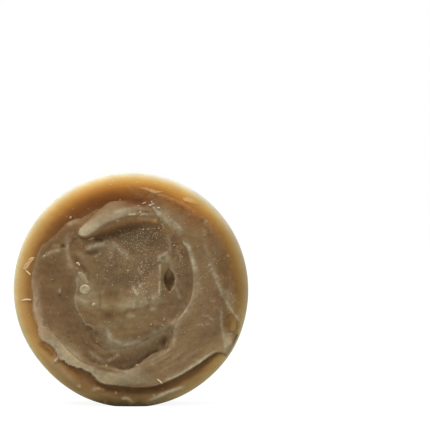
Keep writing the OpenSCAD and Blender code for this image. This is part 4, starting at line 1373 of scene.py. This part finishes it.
# Thin pieces: name, node, slot, outline, rise, colour, seed, fade
PATCHES = [
    ("soap_chunk_disc", "soap_chunks", "fold_soap", [
        (-17.2, 0.2, 0.9, 0.06, 0), (-16.7, 1.3, 0.8, 0.12, 0),
        *run(0.8, 0.14, 0, (-15.5, 1.9), (-14.2, 1.7)), (-13.4, 0.7, 0.8, 0.1, 0),
        *run(0.9, 0.05, 0, (-13.5, -0.6), (-14.5, -1.5), (-15.8, -1.6), (-16.9, -1))],
     0.22, (170, 156, 122), 301),
    ("soap_chunk_flat", "soap_chunks", "fold_soap", [
        (-18, 5.9, 0.9, 0.02, 0), (-16.6, 6.2, 0.7, 0.06, 0),
        *run(0.6, 0.06, 0, (-15.4, 5.2), (-14.6, 3.9)), (-13.9, 2.2, 0.7, 0.05, 0),
        (-14.6, 1.7, 0.9, 0, 0), *run(1, 0, 0, (-15.9, 2.5), (-17, 4))],
     0.22, (146, 131, 101), 302),
    ("soap_chunk_chip", "soap_chunks", "fold_soap", [
        (-13.2, -4.9, 0.5, 0.05, 0.1), *run(0.5, 0.05, 0, (-12.4, -4.2), (-11.6, -4.4)),
        (-11.5, -5.2, 0.5, 0.05, 0.1), *run(0.5, 0.05, 0, (-12, -5.6), (-12.9, -5.5))],
     0.2, (168, 154, 126), 303),
    ("rim_smear_left", "rim_smears", "dry_soap", [
        (2.4, 34.4, 0.8, 0, 0.05), (4.6, 34.9, 0.7, 0.02, 0.1),
        *run(0.6, 0.03, 0.1, (6.8, 34.4), (9, 33.8), (11.5, 33.2), (10.8, 32.6), (8.6, 32.4),
             (6.6, 32.8)), (4.4, 33.6, 0.8, 0, 0.1)],
     0.12, (190, 154, 112), 311, 0.9),
    ("rim_smear_right", "rim_smears", "dry_soap", [
        *run(0.6, 0.03, 0.1, (17.3, 31), (19.2, 31.4)), (21.6, 30.4, 0.7, 0.02, 0.1),
        *run(0.8, 0, 0.05, (23.6, 28.8), (21.6, 28.8)), (19.6, 29.2, 0.7, 0.02, 0.1),
        (18, 29.6, 0.6, 0.03, 0.1)],
     0.12, (190, 150, 104), 312, 0.9),
    ("rim_flake_skin", "rim_flake", "dry_soap", [
        *run(0.4, 0.06, 0.1, (-32.4, 11.2), (-33.8, 11), (-35, 9.8), (-36, 8.3)),
        *run(0.4, 0.06, 0, (-36.5, 6.9), (-35.4, 6.4)),
        *run(0.4, 0.06, 0.1, (-34.4, 7.3), (-33.4, 8.9)), (-32.4, 10.2, 0.4, 0.06, 0)],
     0.22, (184, 148, 104), 313)]

# Curls: points, width, thickness, colour
SHAVINGS = [([(-35.4, 6.5), (-34.5, 5.8), (-33.8, 5)], 0.65, 0.35, (210, 180, 140)),
            ([(-37, -3.7), (-35.2, -3.3), (-33.5, -3.4)], 0.65, 0.35, (208, 180, 142)),
            ([(9.1, -30.1), (10.1, -30.9), (11, -31.8)], 0.55, 0.35, (206, 190, 158))]

# Crumbs: place, radii, turn, colour
CRUMBS = [
    ((-20.3, 24.4), (0.42, 0.36), 20, (178, 148, 112)), ((-17.8, 9), (0.52, 0.42), 30, (176, 166, 138)),
    ((-17.3, 8.5), (0.36, 0.4), 0, (176, 166, 138)), ((6.9, 28.6), (0.7, 0.42), 15, (172, 158, 132)),
    ((7.7, 29), (0.5, 0.36), 60, (160, 145, 119)), ((7.2, 29.7), (0.34, 0.26), 0, (170, 152, 124)),
    ((9.5, 27.7), (0.46, 0.36), 0, (182, 168, 142)), ((4.6, 29.3), (0.8, 0.28), 25, (168, 152, 126)),
    ((2.7, 28.4), (0.34, 0.2), 15, (160, 144, 118)), ((3.4, 26.3), (0.34, 0.3), 0, (182, 168, 142)),
    ((-13.2, 17.4), (0.9, 0.34), 20, (168, 154, 122)), ((4.4, 20.4), (0.3, 0.26), 0, (176, 162, 134)),
    ((-4.2, 23.2), (0.28, 0.24), 0, (150, 132, 102)), ((-3.6, 30.4), (0.3, 0.26), 0, (156, 128, 96)),
    ((9.6, 20.8), (0.3, 0.26), 0, (150, 134, 104)), ((14.8, 15), (0.34, 0.3), 0, (150, 132, 104)),
    ((15.8, 5.4), (0.3, 0.3), 0, (150, 132, 102)), ((7.1, -11.7), (0.3, 0.28), 0, (158, 140, 110)),
    ((11.4, -10), (0.5, 0.3), 60, (156, 138, 108)), ((10.8, -11.9), (0.36, 0.3), 0, (158, 138, 110)),
    ((3, -16), (0.32, 0.28), 0, (154, 134, 104)), ((-7.3, -11), (0.3, 0.26), 0, (152, 132, 104)),
    ((-29, 11.4), (0.34, 0.3), 0, (168, 146, 116)), ((-26.4, 3.4), (0.32, 0.28), 0, (144, 122, 92)),
    ((-11.4, -17.7), (0.32, 0.28), 0, (150, 128, 100)), ((-8, -25.7), (0.44, 0.32), -20, (166, 146, 116)),
    ((2.4, -25.5), (0.6, 0.3), 30, (160, 142, 112)), ((25, 18.3), (0.3, 0.28), 0, (146, 122, 92)),
    ((22.8, 14.6), (0.3, 0.28), 0, (146, 122, 92)), ((26.7, 8.3), (0.44, 0.32), 10, (158, 138, 108))]


def make_bits():
    for thin_piece in PATCHES:
        patch(*thin_piece)
    join("slivers_skin", "slivers", "dry_soap", [shaving(*curl) for curl in SHAVINGS])
    lumps = [stone(at, radii, turn, 400 + i, colour)
             for i, (at, radii, turn, colour) in enumerate(CRUMBS)]
    join("crumbs_skin", "crumbs", "dry_soap", lumps)


make_bits()


# ---- floor, light and camera ----

# Metres, watts, and millimetres for the lens and its sensor
FLOOR_HALF = 3.0
FLOOR_GLOW = 0.91
KEY_PLACE = (-0.12, -0.22, 0.42)
KEY_SIZE = 0.2
KEY_WATTS = 1.9
LENS = 150
SENSOR = 36
# The camera's place from the puck's centre
CAMERA_RIGHT = 0.0286
CAMERA_UP = 0.0253
CAMERA_BACK = 0.6145


def make_floor():
    """White to the camera. Its bounced light on the puck is that of grey paper."""
    mesh = bpy.data.meshes.new("floor")
    corners = [(x * FLOOR_HALF, y * FLOOR_HALF, 0) for x, y in ((-1, -1), (1, -1), (1, 1), (-1, 1))]
    mesh.from_pydata(corners, [], [(0, 1, 2, 3)])
    floor = bpy.data.objects.new("floor", mesh)
    bpy.context.scene.collection.objects.link(floor)
    material = bpy.data.materials.new("floor")
    material.use_nodes = True
    add = empty_tree(material.node_tree)
    seen = add("LightPath").outputs["Is Camera Ray"]
    bounce = add("BsdfDiffuse", Color=(0.4, 0.4, 0.4, 1)).outputs[0]
    glow = add("Emission", Strength=FLOOR_GLOW).outputs[0]
    paper = add("BsdfDiffuse", Color=(0.14, 0.14, 0.14, 1)).outputs[0]
    white = add("AddShader", glow, paper).outputs[0]
    add("OutputMaterial", Surface=add("MixShader", seen, bounce, white).outputs[0])
    mesh.materials.append(material)


def make_world():
    """Soft light from all round, brighter behind the puck and overhead. The camera sees white."""
    world = bpy.data.worlds.new("studio")
    bpy.context.scene.world = world
    world.use_nodes = True
    add = empty_tree(world.node_tree)
    seen = add("LightPath").outputs["Is Camera Ray"]
    white = add("Background", Strength=1.0, Color=(1, 1, 1, 1)).outputs[0]
    split = add("SeparateXYZ", add("TexCoord").outputs["Generated"])
    back = ranged(add, split.outputs["Y"], -0.3, 0.6, 0.36, 0.8, interpolation_type="SMOOTHSTEP")
    above = ranged(add, split.outputs["Z"], -0.1, 0.9, 0.0, 0.7, interpolation_type="SMOOTHSTEP")
    total = maths(add, "ADD", back, above)
    light = add("Background", Strength=total, Color=(1, 0.985, 0.96, 1)).outputs[0]
    add("OutputWorld", Surface=add("MixShader", seen, light, white).outputs[0])


def make_light(name, place, aim, size, watts):
    data = bpy.data.lights.new(name, "AREA")
    data.size = size
    data.energy = watts
    lamp = bpy.data.objects.new(name, data)
    lamp.location = place
    lamp.rotation_mode = "QUATERNION"
    lamp.rotation_quaternion = Vector(np.subtract(aim, place)).to_track_quat("-Z", "Y")
    bpy.context.scene.collection.objects.link(lamp)


def make_camera():
    """Level, straight at the puck's face from a little right of and above its middle."""
    data = bpy.data.cameras.new("camera")
    data.lens = LENS
    data.sensor_width = SENSOR
    camera = bpy.data.objects.new("camera", data)
    camera.location = (CAMERA_RIGHT, -CAMERA_BACK, CENTRE_Z * MM + CAMERA_UP)
    camera.rotation_euler = (math.radians(90), 0, 0)
    bpy.context.scene.collection.objects.link(camera)
    bpy.context.scene.camera = camera


make_floor()
make_world()
make_light("key", KEY_PLACE, (0, 0, CENTRE_Z * MM), KEY_SIZE, KEY_WATTS)
make_camera()
bpy.context.scene.view_settings.view_transform = "Standard"
